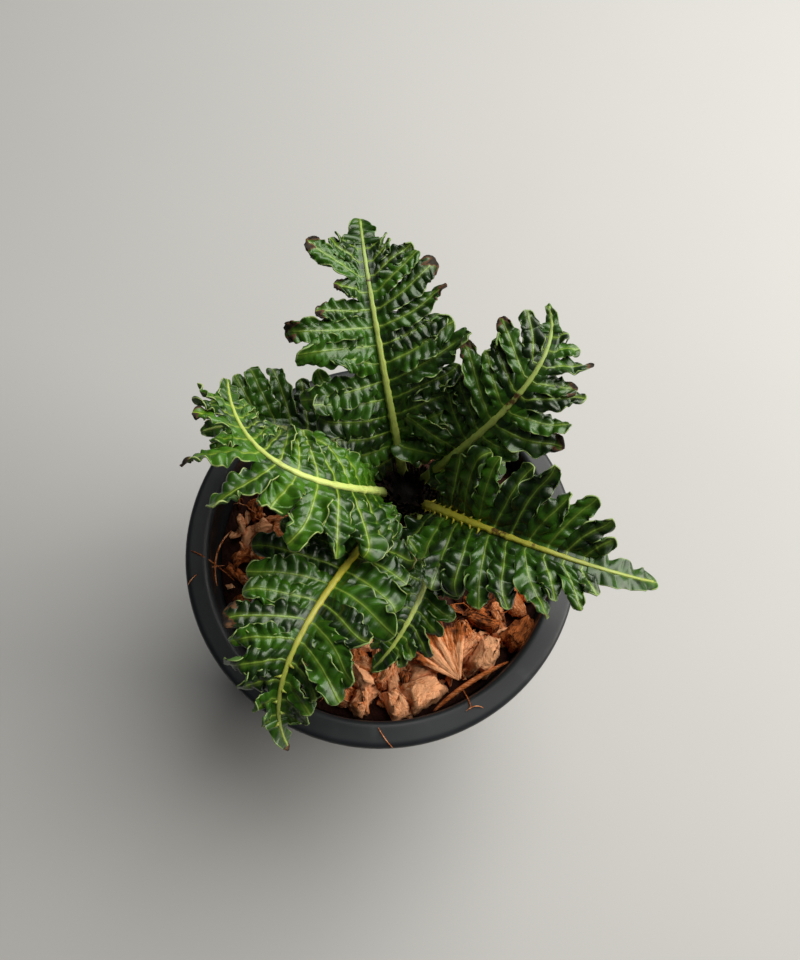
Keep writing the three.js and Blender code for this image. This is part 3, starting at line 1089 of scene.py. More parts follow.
    def heave(self, s: Array, v: Array, length: Array, half: Array, free: Array) -> tuple[Array, Array]:
        """How far the sheet stands off its middle surface.

        It is the sum of round pillows between sharp creases, a groove at the midvein and a camber, and
        where the lobe is free also a ripple and a frill along its margin. The creases are where a phase is
        whole: the distance from the midrib over the pillow's width, drifting evenly from lobe to lobe. The
        ripple is the sine of twice pi times the phase, so that the margin rises and falls once a pillow.

        Args:
            s: shares along, (1, rows, 1).
            v: shares across, -1 to 1, (1, 1, columns).
            length: lengths shared with the neighbours, (lobes, rows, columns).
            half: half widths, (lobes, 1, 1).
            free: 0 where the lobe is joined to its neighbours, 1 where it is free.

        Returns:
            The height and the phase.
        """
        seed, off = self.habit.seed, np.abs(v)
        key, index, hand = (column(a) for a in (self.key, self.index, self.hand))
        along = s * length
        drift = wander(index + v / 2 + 40 * (hand > 0), seed + 0.2, 2.9, 2)
        phase = along / self.habit.pillow - 0.25 * off + 0.6 * drift
        pillow = 2 * np.abs(np.sin(np.pi * phase)) ** 0.9 - 1.2
        frill = wander(along + 9 * v + 31 * key, seed + 0.1, 13, 2)
        edge = draw(seed, key + Draws.EDGE.value + 50 * (v > 0))
        relief = np.where(hand < 0, *self.habit.relief) * np.clip(half / 2.6, 0.5, 1.1)
        height = self.depth * relief * pillow * smooth(off / 0.45)
        ripple = 0.12 * self.habit.pillow * np.sin(2 * np.pi * phase)
        margin = ripple * off ** 2 + self.frill * frill * off ** 1.8 + 0.8 * edge * off ** 3
        calm = np.clip(length / 15, 0.3, 1) * (1 - 0.6 * smooth((s - 0.7) / 0.3))
        height = height + free * margin * calm
        height = height + 0.35 * smooth(off / 0.3) - 0.25 * off ** 2
        return height * (0.35 + 0.65 * smooth(along / 1.4)), phase

    def lobe_plan(self, s: Array, v: Array, length: Array, half: Array) -> LobePlan:
        """Works out what the steps of the lobes share.

        The half width tapers with the square of the way past the middle where the end is pointed, swells
        by a half wave of the belly past the cleft, and eases to the open end.

        Args:
            s: shares of a lobe's length, one a row.
            v: shares across, one a column.
            length: lengths.
            half: half widths.

        Returns:
            The plan.
        """
        shared = self.with_neighbours(np.repeat(length[:, None], len(s), axis=1), v)
        s, v, length, half = s[None, :, None], v[None, None, :], column(length), column(half)
        free = smooth((s - column(self.cleft())) / 0.15)
        height, phase = self.heave(s, v, shared, half, free)
        point = column(np.clip(0.5 * self.drawn(Draws.POINT), 0, 1))
        taper = 1 - 0.5 * point * np.clip((s - 0.5) / 0.5, 0, 1) ** 2
        belly = 1 + self.belly * free * np.sin(np.pi * np.clip((s - 0.35) / 0.65, 0, 1))
        wide = half * taper * belly * lerp(1.0, self.open_end, smooth((s - 0.4) / 0.4))
        frayed = wander(s * length + 23 * column(self.key) + 7 * v, self.habit.seed + 0.3, 8, 2)
        return LobePlan(s, v, length, half, free, height, phase, point, wide, frayed)

    def own_sheet(self, plan: LobePlan, spine: Spine) -> Array:
        """Each lobe's own surface: its straight rows, which bend back into arcs towards the end.

        A row at full bend is the arc of the half width through the rounding angle, or, where the end is
        pointed, falls back by a power of the share across. The scallop widens and narrows the rows.

        Args:
            plan: what the lobes share.
            spine: their centre lines and directions.

        Returns:
            Points (lobes, rows, columns, 3).
        """
        bend = smooth((plan.s - 1) / np.minimum(2.2 * plan.half / plan.length, 0.95) + 1)
        arc = np.radians(self.round_off) * plan.v
        notch = self.notch * np.cos(2 * np.pi * plan.phase)
        scallop = 1 + plan.free * np.abs(plan.v) ** 2 * (self.fray * plan.frayed - notch)
        reach = plan.wide * lerp(plan.v, np.sin(arc), bend) * scallop
        back = bend * plan.wide * lerp(1 - np.cos(arc), 1.45 * np.abs(plan.v) ** 1.1, plan.point)
        height = plan.height + self.spring * column(self.drawn(Draws.LIFT)) * plan.free
        own = spine.centre[:, :, None] + spine.across[:, :, None] * reach[..., None]
        own = own - spine.out[:, :, None] * back[..., None]
        return own + spine.normal[:, :, None] * height[..., None]

    def lobe_values(self, plan: LobePlan, inner_rows: int) -> dict[str, Array]:
        """Painted values of the lobes: leaf_mm and leaf_kind, which the blade's finish reads.

        Args:
            plan: what the lobes share.
            inner_rows: rows inside the midrib, which take the values of the first row.

        Returns:
            Values (lobes, rows, columns, 3) by name.
        """
        along = plan.s * plan.length
        margin = np.minimum((1 - np.abs(plan.v)) * plan.wide, (1 - plan.s) * plan.length)
        margin = margin + 4 * (1 - smooth(plan.free * 3))
        brown = np.clip(0.8 * self.drawn(Draws.BROWN) - 0.3, 0, 0.8)
        brown = np.maximum(brown, self.marked(Mark.SCORCHED))
        brown = column(np.maximum(brown, 0.9 * self.marked(Mark.BITTEN)))
        brown = brown * smooth((plan.s - 0.8 + 0.1 * plan.frayed) / 0.2)
        values = {
            "leaf_mm": (plan.v * plan.wide, margin, along),
            "leaf_kind": (plan.phase, column(self.drawn(Draws.TONE)), brown),
        }
        painted = {}
        for name, parts in values.items():
            value = stacked(*parts)
            painted[name] = np.concatenate([np.repeat(value[:, :1], inner_rows, axis=1), value], axis=1)
        return painted

    def lobes(self, skin: Skin) -> None:
        """Adds every lobe to the skin, each a closed sheet that starts inside the midrib.

        A lobe is a grid of rows out from the midrib and columns from its base side to its tip side. Rows
        within the web follow the midrib. Out to the cleft a row's displacement from the midrib runs evenly
        into the neighbours', so that the lobes make one sheet. Past it the rows slide into the lobe's own
        straight rows, and at the tip they bend back into arcs, so that the end is round or pointed.

        Args:
            skin: gathers the blade.
        """
        length = self.lengths()
        lean = lerp(self.side_value("lean"), self.lean_tip, self.q ** 1.3) + self.drawn(Draws.LEAN)
        half = self.halves(length, lean)
        s = np.linspace(0, 1, 16 + int(self.rows_per_mm * length.max()))
        v = np.sin(np.linspace(-1, 1, self.columns) * np.pi / 2)
        spine = self.spine(s, length, lean + self.turn)
        plan = self.lobe_plan(s, v, length, half)
        low, high = self.shares[2 * self.index], self.shares[2 * self.index + 2]
        foot = self.midrib.frames(lerp(low[:, None], high[:, None], (v * 1.02 + 1) / 2))
        hand = column(self.hand)[..., None]
        start = foot.point + foot.side * hand[:, 0] * self.web
        joined = start[:, None] + self.with_neighbours(spine.centre - spine.centre[:, :1], v)
        joined = joined + unit(self.with_neighbours(spine.normal, v)) * plan.height[..., None]
        sheet = lerp(joined, self.own_sheet(plan, spine), plan.free[..., None])
        inner = np.array([0.0, 0.5, 0.85])[None, :, None, None] * self.web
        root = foot.point[:, None] + foot.side[:, None] * hand * inner
        share = np.array([0.0, 0.1, 0.2])[None, :, None, None]
        root = root + foot.up[:, None] * share * plan.height[:, :1, :, None]
        grid = np.concatenate([root, sheet], axis=1)
        thick = self.thinned(plan.v) * np.ones(grid.shape[:3])
        closed_sheets(skin, grid, self.hand, thick, self.lobe_values(plan, inner.shape[1]))

    def thinned(self, v: Array) -> Array:
        """Thickness at share v across: full at the midvein, less by the fourth power towards the edge."""
        return self.thickness * (1 - self.thin_edge * np.abs(v) ** 4)

    def end(self, skin: Skin) -> None:
        """Adds the undivided end of the blade: a narrowing sheet with waved edges and a round tip.

        The half width runs from the end's width to its tip's, with a power of the share along. A wave of
        7 mm lifts and widens the edges, and pillows like the lobes' lie across the whole sheet.

        Args:
            skin: gathers the blade.
        """
        end, seed = self.habit.end, self.habit.seed
        run = end.share * self.midrib.length
        s = np.linspace(0, 1, int(14 + run * self.end_rows_per_mm))[:, None]
        v = np.sin(np.linspace(-1, 1, self.end_columns) * np.pi / 2)[None, :]
        off = np.abs(v)
        spots = self.midrib.frames(lerp(1 - end.share * 1.05, 1, s[:, 0]))
        wave = np.sin(2 * np.pi * (s * run / 7.0 + 0.37 * (v > 0)))
        wave = wave + 0.4 * wander(s * run, seed + 0.7, 6, 2)
        wide = lerp(end.width, end.tip, s ** lerp(2.2, 0.9, end.point))
        wide = wide * (1 + 0.16 * wave * off ** 3 * (1 - s * 0.6))
        bend = smooth((s - 1) / min(2.4 * end.tip / run, 0.9) + 1)
        arc = np.radians(self.round_off) * v
        reach = wide * lerp(v, np.sin(arc), bend)
        back = bend * wide * (1 - np.cos(arc))
        phase = s * run / (0.85 * self.habit.pillow) - 0.2 * off + 0.21 * np.sign(v)
        pillow = 2.2 * np.abs(np.sin(np.pi * phase)) ** 0.75 - 1.2
        fade = (1 - 0.5 * s) * smooth(off / 0.45)
        height = fade * (0.9 * wave * v ** 2 + 0.45 * pillow * self.habit.relief[0])
        height = height + 0.15 * smooth(off / 0.3)
        point, along, up, side = (a[:, None] for a in (spots.point, spots.along, spots.up, spots.side))
        grid = point + side * reach[..., None] - along * back[..., None] + up * height[..., None]
        margin = np.minimum((1 - off) * wide, (1 - s) * run)
        brown = end.brown * smooth((s - 0.7) / 0.3)
        mm, kind = stacked(v * wide, margin, s * run), stacked(phase, 0, brown)
        values = {"leaf_mm": mm[None], "leaf_kind": kind[None]}
        thick = self.thinned(v) * np.ones(height.shape)
        closed_sheets(skin, grid[None], np.array([-1.0]), thick[None], values)

    def rib(self, skin: Skin) -> None:
        """Adds the midrib: rings along the curve, an oval section with a shallow groove on top.

        Half width and half height shrink from foot to tip, faster at first. The rib swells by a sixth
        where a pair of lobes joins it, and its two edges are a little ragged.

        Args:
            skin: gathers the rib.
        """
        seed, run = self.habit.seed, self.midrib.length
        s = np.linspace(0, self.rib_share, self.rib_rings)
        spots = self.midrib.frames(s)
        around = full_turn(self.rib_sides)[None, :]
        joints = self.shares[1::2]
        nearest = np.abs(s[:, None] - joints[None, :]).min(axis=1) * run
        swell = 1 + 0.16 * np.exp(-(nearest / 0.8) ** 2) + 0.07 * wander(s * run, seed, 6)
        wide = (lerp(self.rib_base[0], self.rib_tip[0], s ** 0.7) * swell)[:, None]
        heave = 1 + 0.05 * wander(s * 60, seed + 2, 11)
        high = (lerp(self.rib_base[1], self.rib_tip[1], s ** 0.8) * heave)[:, None]
        groove = 0.16 * high * np.exp(-(np.cos(around) / 0.3) ** 2) * (np.sin(around) > 0)
        ragged = wander(s[:, None] * run + 29 * (np.cos(around) > 0), seed + 4, 4.5)
        x = wide * np.cos(around) * (1 + 0.1 * ragged * np.abs(np.cos(around)))
        y = high * (0.45 + 1.15 * np.sin(around)) - groove
        rings = spots.point[:, None] + spots.side[:, None] * x[..., None]
        rings = rings + spots.up[:, None] * y[..., None]
        scar = np.zeros_like(s)
        for low, top in self.habit.scars:
            scar = np.maximum(scar, 0.62 * smooth((s - low) / 0.02) * smooth((top - s) / 0.02))
        kind = stacked(s[:, None], np.sin(around), scar[:, None])
        tube(skin, rings, {"rib_kind": kind})

    def rib_teeth(self, skin: Skin) -> None:
        """Adds the small pale teeth that stand on the rib where the blade failed to form: slim cones.

        Args:
            skin: gathers the rib.
        """
        low, top, count = self.habit.teeth
        if not count:
            return
        k = np.arange(count)
        share = lerp(low, top, (k + 0.5) / count)
        spots = self.midrib.frames(share)
        hand = np.where(k % 2, 1.0, -1.0)[:, None]
        wide = lerp(self.rib_base[0], self.rib_tip[0], share)[:, None]
        foot = spots.point + spots.side * hand * wide * 0.75 + spots.up * 0.5
        lean = unit(spots.side * hand + 0.35 * spots.along + 0.3 * spots.up * draw(7, k)[:, None])
        length = (1.5 + 0.5 * draw(self.habit.seed, k + 600))[:, None]
        turn = full_turn(6)[None, :, None]
        ring = spots.along[:, None] * np.cos(turn) + spots.up[:, None] * np.sin(turn)
        steps = ((0.0, 0.55), (0.45, 0.3), (1.0, 0.06))
        rings = [(foot + lean * length * step)[:, None] + ring * radius for step, radius in steps]
        levels = np.stack(rings, axis=1)
        for i in range(count):
            kind = np.broadcast_to([share[i], 0.5, 0.0], levels[i].shape)
            tube(skin, levels[i], {"rib_kind": kind}, clockwise=bool(hand[i, 0] > 0))

    def build(self, blade: bpy.types.Material, rib: bpy.types.Material) -> None:
        """Builds the blade and the rib and lets them stand for their solids.

        Args:
            blade: finish of the blade.
            rib: finish of the rib.
        """
        name = self.habit.name
        sheet = Skin()
        self.lobes(sheet)
        self.end(sheet)
        report(sheet.piece(f"{name}_frond_blade", blade, self.habit.leaf.value, f"frond_{name}_blade"))
        stalk = Skin()
        self.rib(stalk)
        self.rib_teeth(stalk)
        report(stalk.piece(f"{name}_frond_rib", rib, "fern_rib", f"frond_{name}_rib"))


@dataclass
class PotPlan:
    """Sizes of the pot, as in the solids' source."""

    height: float = 100
    lip_radius: float = 60
    lip_width: float = 7.6
    lip_depth: float = 11
    lip_round: float = 1.6
    lip_flare: float = 0.4
    wall: float = 2.2
    base_radius: float = 43
    base_round: float = 1.0
    floor: float = 3
    drain_count: int = 6
    drain_radius: float = 4
    drain_ring: float = 27

    def neck(self) -> float:
        """Outer radius of the body where it meets the lip."""
        return self.lip_radius - self.lip_width + self.wall

    def inner(self, z: float) -> float:
        """Inner radius of the wall at height z."""
        outer = lerp(self.base_radius, self.neck(), z / (self.height - self.lip_depth))
        return min(float(outer) - self.wall, self.lip_radius - self.lip_width)


def rounded_outline(corners: list[tuple[float, float, float]], arc_steps: int = 5) -> Array:
    """Outline with rounded corners.

    Each corner is replaced by an arc of its radius that touches both of its sides, with one more point
    a little before and after it, which keeps the shading of the flat stretches flat.

    Args:
        corners: (r, z, radius) for each corner, the first and last on the axis.
        arc_steps: steps in each arc.

    Returns:
        Points (r, z).
    """
    place = np.array(corners, float)
    points = [place[0, :2]]
    for before, here, after in zip(place[:-2], place[1:-1], place[2:]):
        a, b = unit(before[:2] - here[:2]), unit(after[:2] - here[:2])
        radius = here[2]
        opening = math.acos(float(np.clip(a @ b, -1, 1)))
        cut = radius / math.tan(opening / 2)
        middle = here[:2] + unit(a + b) * radius / math.sin(opening / 2)
        start, stop = here[:2] + a * cut - middle, here[:2] + b * cut - middle
        t = np.linspace(0, 1, arc_steps + 1)[:, None]
        spread = math.pi - opening
        arc = (np.sin((1 - t) * spread) * start + np.sin(t * spread) * stop) / math.sin(spread)
        support = 0.35 * radius
        points += [here[:2] + a * (cut + support), *(middle + arc), here[:2] + b * (cut + support)]
    return np.array([*points, place[-1, :2]])


@dataclass
class Pot:
    """Round nursery pot: a tapered cup turned about Z, with a wide rolled lip and drainage holes."""

    plan: PotPlan = field(default_factory=PotPlan)
    sides: int = 160

    def outline(self) -> Array:
        """Outline of the wall from the middle of the underside, up outside, over the lip and inside.

        Returns:
            Points (r, z).
        """
        p = self.plan
        neck, lip, high = p.neck(), p.lip_radius, p.height
        skirt = high - p.lip_depth
        hollow = high - 2 * p.wall
        return rounded_outline([
            (0, 0, 0),
            (p.base_radius, 0, p.base_round),
            (neck, skirt, 0.4),
            (neck, hollow, 0.4),
            (lip - p.wall, hollow, 0.4),
            (lip - p.wall, skirt, 0.4),
            (lip - p.lip_flare, skirt, 0.5),
            (lip, high, p.lip_round),
            (lip - p.lip_width, high, p.lip_round),
            (neck - p.wall, skirt, 2.0),
            (p.inner(p.floor), p.floor, 0.8),
            (0, p.floor, 0),
        ])

    def build(self, material: bpy.types.Material) -> None:
        """Turns the outline about Z, with its two end points as poles, and cuts the drainage holes.

        Args:
            material: finish of the pot.
        """
        outline = self.outline()
        turn = full_turn(self.sides)[None, :]
        r, z = outline[1:-1, 0, None], outline[1:-1, 1, None]
        rings = around_axis(r, z, turn)
        skin = Skin()
        skin.add(rings, grid_faces(len(rings), self.sides, wrap=True))
        skin.add(np.array([[0, 0, outline[0, 1]], [0, 0, outline[-1, 1]]]), np.zeros((0, 3), int))
        low, high = skin.count - 2, skin.count - 1
        here, after = np.arange(self.sides), (np.arange(self.sides) + 1) % self.sides
        top = (len(rings) - 1) * self.sides
        skin.faces += stacked(low, after, here).tolist() + stacked(high, top + here, top + after).tolist()
        pot = skin.piece("nursery_pot", material, "pot_plastic", "pot")
        self.drill(pot)
        pot.data.set_sharp_from_angle(angle=math.radians(50))
        report(pot)

    def drill(self, pot: bpy.types.Object) -> None:
        """Cuts the drainage holes through the floor with a boolean, which is applied.

        Args:
            pot: the pot.
        """
        p = self.plan
        turn = full_turn(24)
        holes = Skin()
        for k in range(p.drain_count):
            angle = 2 * math.pi * k / p.drain_count
            x, y = p.drain_ring * math.cos(angle), p.drain_ring * math.sin(angle)
            depth = np.array([-2, 2])[:, None] * p.floor
            tube(holes, around_axis(p.drain_radius, depth, turn[None, :], x, y), {})
        mesh = bpy.data.meshes.new("drills")
        mesh.from_pydata(np.concatenate(holes.points) * MM, [], holes.faces)
        cutter = placed("drills", mesh)
        cut = pot.modifiers.new("drain holes", "BOOLEAN")
        cut.operation = "DIFFERENCE"
        cut.solver = "EXACT"
        cut.object = cutter
        finished = pot.evaluated_get(bpy.context.evaluated_depsgraph_get())
        applied = bpy.data.meshes.new_from_object(finished)
        pot.modifiers.clear()
        pot.data = applied
        bpy.data.objects.remove(cutter)


@dataclass(frozen=True)
class Chunk:
    """One chunk of husk with a place of its own: size, turns about X, Y and Z in degrees, and centre."""

    size: tuple[float, float, float]
    turn: tuple[float, float, float]
    place: tuple[float, float, float]
    tone: float


@dataclass(frozen=True)
class ChipKind:
    """Small chips of one kind: how many, their lengths, their mesh, and how far they tilt and lift."""

    count: int
    length: tuple[float, float]
    rings: int
    sides: int
    seed: int
    tilt: float
    lift: float


@dataclass(frozen=True)
class Strand:
    """One fibre or strip of husk: the start, the pull and the end of its arc, its radius and tone."""

    start: tuple[float, float, float]
    pull: tuple[float, float, float]
    stop: tuple[float, float, float]
    radius: float
    tone: float


CHIP_KINDS = (
    ChipKind(190, (6, 15), 7, 13, 9, 0.45, 1.6),
    ChipKind(260, (2.2, 6), 4, 9, 17, 0.9, 1.4),
)
CHUNKS = (
    Chunk((13, 8.5, 6), (10, -14, 62), (31.5, -33.5, 90.6), 1.5),
    Chunk((13, 9, 5), (4, 10, 40), (43, -26, 89), -0.5),
    Chunk((14, 11, 6), (-8, 6, 24), (12.5, -43.5, 90.0), 1.0),
    Chunk((10, 8, 5), (10, 4, 120), (4.5, -46.5, 89.6), 1.0),
    Chunk((9, 7, 5), (-6, 12, 75), (-6, -46, 89.4), 0.7),
    Chunk((15, 9, 5), (6, -8, 150), (-14, -42, 89.4), 0.2),
)
STRANDS = (
    Strand((15.8, -49.2, 90.5), (24, -41.5, 97.5), (38.5, -34.8, 89.5), 0.8, -0.1),
    Strand((23.8, -42.5, 93), (26.2, -48.5, 104.5), (25.6, -49.4, 99.2), 0.22, -0.5),
    Strand((24.4, -49.8, 100.5), (27, -47.6, 101.6), (29.4, -48.9, 100.7), 0.14, 0.2),
    Strand((-1.4, -52.4, 98.5), (0.5, -56.5, 102.4), (3.6, -59.6, 99.7), 0.13, 0.4),
    Strand((-57.9, -13.5, 100.2), (-55, -8, 101.6), (-49, -5.5, 92), 0.16, 0.6),
    Strand((-57.8, -2.8, 100.2), (-52, -5, 102), (-46, -10, 91), 0.2, -0.2),
    Strand((-51, -12, 92), (-53, -2, 97), (-48, 6, 91), 0.3, 0.3),
)


@dataclass
class Fan:
    """Torn pale flake of husk that fans out in ridges from its apex, over a span of angles."""

    apex: tuple[float, float, float] = (23.6, -40.4, 91.2)
    span: tuple[float, float] = (84, 158)
    reach: float = 19
    ridges: float = 3.4
    ridge_height: float = 1.2
    thickness: float = 0.8

    def add(self, skin: Skin) -> None:
        """Adds the flake to a skin.

        Rows run out from the apex and columns across the span. The flake rises slowly outwards and drops
        to its two sides. Its ridges are the size of a sine of the angle and grow on the way out.

        Args:
            skin: gathers the husk.
        """
        s = np.linspace(0.04, 1, 22)[:, None]
        c = np.linspace(0, 1, 45)[None, :]
        angle = np.radians(lerp(*self.span, c))
        arch = 0.55 + 0.45 * np.sin(np.pi * (0.18 + 0.72 * c))
        out = s * (self.reach * arch * (1 + 0.11 * wander(c * 40, 61, 7)))
        bend = 0.5 * s + 0.9 * wander(c * 40, 63, 31, 2)
        crests = np.abs(np.sin(np.pi * self.ridges * c + bend))
        ridge = self.ridge_height * crests - 1.4 * (2 * c - 1) ** 2 + 0.3 * wander(out, 62, 9)
        x, y, z = self.apex
        grid = around_axis(out, z + 0.14 * out + s * ridge, angle, x, y)[None]
        # Darker towards the outer end, with painted shade in the troughs between the ridges.
        tone = 1.2 - 1.8 * smooth((s - 0.62 - 0.1 * wander(c * 40, 64, 11)) / 0.3) - 0.9 * (1 - crests)
        own = stacked(out, 9 * c, 0) + 300
        values = {"chip_mm": own[None], "chip_tone": tone[None]}
        closed_sheets(skin, grid, np.ones(1), np.full(out.shape, self.thickness)[None], values)
        skin.values.pop("under")


@dataclass
class Husk:
    """Layer of husk chips: the large chips lie as in the solids, with small ones and fibres among them.

    The layer lies on the mix, a gap above mix_top, and its chips rest about top. count, edge, length,
    width, thickness, lift, taper, slant and tilt are those of the solids' large chips. shade is the middle
    of the painted shade on the husk round the crown and how far it eases out.
    """

    plan: PotPlan = field(default_factory=PotPlan)
    mix_top: float = 76
    top: float = 87
    gap: float = 0.3
    seed: int = 5
    count: int = 58
    edge: float = 3.5
    length: tuple[float, float] = (10, 21)
    width: tuple[float, float] = (6, 11)
    thickness: tuple[float, float] = (2.2, 4.2)
    lift: float = 1.6
    taper: float = 0.72
    slant: float = 0.2
    tilt: float = 16
    fibres: int = 60
    fibre_half: tuple[float, float] = (3, 8)
    fibre_radius: float = 0.16
    shade: tuple[float, float, float] = (7, 14, 30)
    dark_ring: float = 20
    darkening: float = 3.4

    def draw_in(self, span: tuple[float, float], k: Array) -> Array:
        """Seeded draws between the two ends of a span."""
        return lerp(span[0], span[1], (draw(self.seed, k) + 1) / 2)

    def slab(self, rings: int, sides: int) -> Array:
        """Unit block with rounded edges: a ball whose sines and cosines are each raised to the power 0.5.

        Args:
            rings: rings of points from its low end to its high one.
            sides: points in a ring.

        Returns:
            Points (rings, sides, 3) between -0.5 and 0.5, from the low end ring to the high one.
        """
        up = np.linspace(-0.5, 0.5, rings + 2)[1:-1, None] * np.pi
        turn = full_turn(sides)[None, :] + 0.2
        x, y = (squared_off(np.cos(up)) * squared_off(part) for part in (np.cos(turn), np.sin(turn)))
        return stacked(x, y, squared_off(np.sin(up))) / 2

    def heap(self, skin: Skin, block: Array, size: Array, turn: Array, place: Array, seed: float,
             tone: Array | None = None) -> None:
        """Adds one block for each row of size.

        Each block is scaled, bent and chipped by seeded waves of its own, narrowed at its top, turned
        about X, then Y, then Z, and moved to its place.

        Args:
            skin: gathers the blocks.
            block: unit block, (rings, sides, 3).
            size: length, width and thickness, (count, 3).
            turn: angles about X, Y and Z, (count, 3).
            place: centres, (count, 3).
            seed: seed of the waves.
            tone: how light each block is; else a seeded draw, less the painted shade round the crown.
        """
        count = len(size)
        k = column(np.arange(count))
        own = block[None] * column(size)
        x, y, z = np.moveaxis(own, -1, 0)
        narrow = lerp(1.0, self.taper, smooth(block[None, ..., 2] + 0.5))
        waves = [wander(x * 0.9 + 2.2 * y + 1.9 * z + 17 * k, seed + i, 8) for i in range(3)]
        x = x * narrow * (1 + 0.25 * wander(2 * y + 13 * k, seed + 5, 5)) + 0.5 * waves[0]
        y = y * narrow * (1 - self.slant * smooth(block[None, ..., 0] + 0.5)) + 0.7 * waves[1]
        z = z + 0.6 * waves[2] - 0.02 * x ** 2 * draw(seed, k + 0.2)
        bent = stacked(x, y, z)
        for axis, angle in zip(np.eye(3), turn.T):
            bent = turned_about(bent, axis, np.broadcast_to(column(angle), bent.shape[:3]))
        resting = bent + column(place)
        if tone is None:
            # Seeded tone, less the painted shade that the fronds cast round the crown.
            tone = 0.3 + 1.3 * draw(seed + 3, np.arange(count)) - self.painted_crown_shade(place)
        for i in range(count):
            shape = own[i].shape[:2]
            values = {"chip_mm": own[i] + 40 * i, "chip_tone": np.full(shape, tone[i])}
            tube(skin, resting[i], values)

    def painted_crown_shade(self, place: Array) -> Array:
        """Painted shade on the husk: fully within the dark ring round the crown, easing to 0 beyond.

        Args:
            place: places, (..., 3).

        Returns:
            What is taken off the tone there.
        """
        x, y, reach = self.shade
        off = np.hypot(place[..., 0] - x, place[..., 1] - y)
        return self.darkening * (1 - smooth((off - self.dark_ring) / reach))

    def chips(self, skin: Skin) -> None:
        """Adds the large chips, on the golden spiral and with the draws of the solids.

        Args:
            skin: gathers the husk.
        """
        k = np.arange(self.count)
        spans = (self.length, self.width, self.thickness)
        size = stacked(*(self.draw_in(span, 7 * k + i) for i, span in enumerate(spans)))
        share = np.sqrt((k + 0.5) / self.count)
        reach = (self.plan.inner(self.top) - self.edge - size[:, 0] / 3) * share
        tilts = (math.radians(self.tilt), math.radians(self.tilt), math.pi)
        turn = stacked(*(tilt * draw(self.seed, 7 * k + i) for i, tilt in enumerate(tilts, 4)))
        rest = self.top + self.lift * draw(self.seed, 7 * k + 7)
        place = around_axis(reach, rest, k * GOLDEN_TURN)
        self.heap(skin, self.slab(10, 20), size, turn, place, 3.1)

    def small_chips(self, skin: Skin) -> None:
        """Adds the middling chips and the crumbs that fill gaps, each kind on its own golden spiral.

        Args:
            skin: gathers the husk.
        """
        for kind in CHIP_KINDS:
            k, seed = np.arange(kind.count), kind.seed
            length = lerp(*kind.length, (draw(seed, k) + 1) / 2)
            size = length[:, None] * stacked(1, 0.5 + 0.2 * draw(seed, k + 500), 0.26)
            reach = (self.plan.inner(self.top) - 1.2 - 0.4 * length) * np.sqrt((k + 0.5) / kind.count)
            tilts = (kind.tilt, kind.tilt, math.pi)
            turn = stacked(*(tilt * draw(seed + i, k) for i, tilt in enumerate(tilts, 1)))
            rest = self.top + 0.3 + kind.lift * draw(seed + 4, k)
            place = around_axis(reach, rest, k * GOLDEN_TURN + 1.3 * seed)
            self.heap(skin, self.slab(kind.rings, kind.sides), size, turn, place, seed + 0.2)

    def landmarks(self, skin: Skin) -> None:
        """Adds the chunks and strands that have places of their own, and the pale fan among them.

        Args:
            skin: gathers the husk.
        """
        names = ("size", "turn", "place", "tone")
        size, turn, place, tone = (np.array([getattr(c, name) for c in CHUNKS], float) for name in names)
        self.heap(skin, self.slab(12, 24), size, np.radians(turn), place, 51.4, tone)
        t = np.linspace(0, 1, 24)[:, None]
        for strand in STRANDS:
            start, pull, stop = (np.array(p, float) for p in (strand.start, strand.pull, strand.stop))
            path = (1 - t) ** 2 * start + 2 * t * (1 - t) * pull + t ** 2 * stop
            self.strand(skin, path, strand.radius, strand.tone)
        Fan().add(skin)

    def bed(self, skin: Skin) -> None:
        """Adds the dark packed layer under the chips: a disc whose top heaves by half a millimetre.

        Args:
            skin: gathers the husk.
        """
        floor = self.mix_top + self.gap
        wall_low, wall_high = (self.plan.inner(z) - self.gap for z in (floor, self.top - 1))
        radius = np.concatenate([[0.5, 0.97 * wall_low, wall_low], np.linspace(wall_high, 0.5, 26)])
        level = np.concatenate([[floor] * 3, np.full(26, self.top - 1.2)])
        turn = full_turn(72)[None, :]
        r = radius[:, None]
        bumps = wander(r * 1.7 + 11 * np.cos(3 * turn), 4, 13) + wander(9 * turn + r, 8, 7)
        z = level[:, None] + 0.5 * bumps * (np.arange(29)[:, None] > 3)
        rings = around_axis(r, z, turn)
        # The bed's dark tone is partly its own colour and partly painted shade in the gaps between chips;
        # round the crown it takes more painted shade.
        tube(skin, rings, {"chip_mm": rings[..., [2, 0, 1]], "chip_tone": -2.2 - self.painted_crown_shade(rings)})

    def strand(self, skin: Skin, path: Array, radius: float, tone: float) -> None:
        """Adds one loose fibre: a six-sided tube along a path, fading to a point at both ends.

        Args:
            skin: gathers the fibre.
            path: points along it.
            radius: its radius in the middle.
            tone: how light it is.
        """
        tangent = unit(np.gradient(path, axis=0))
        level = unit(np.cross(tangent, [0.1, 0.2, 1.0]))
        up = np.cross(level, tangent)
        turn = full_turn(6)
        fade = np.sin(np.linspace(0.12, math.pi - 0.12, len(path))) ** 0.4 * radius
        ring = level[:, None] * np.cos(turn)[None, :, None] + up[:, None] * np.sin(turn)[None, :, None]
        rings = path[:, None] + ring * fade[:, None, None]
        tube(skin, rings, {"chip_mm": rings, "chip_tone": np.full(rings.shape[:2], tone)})

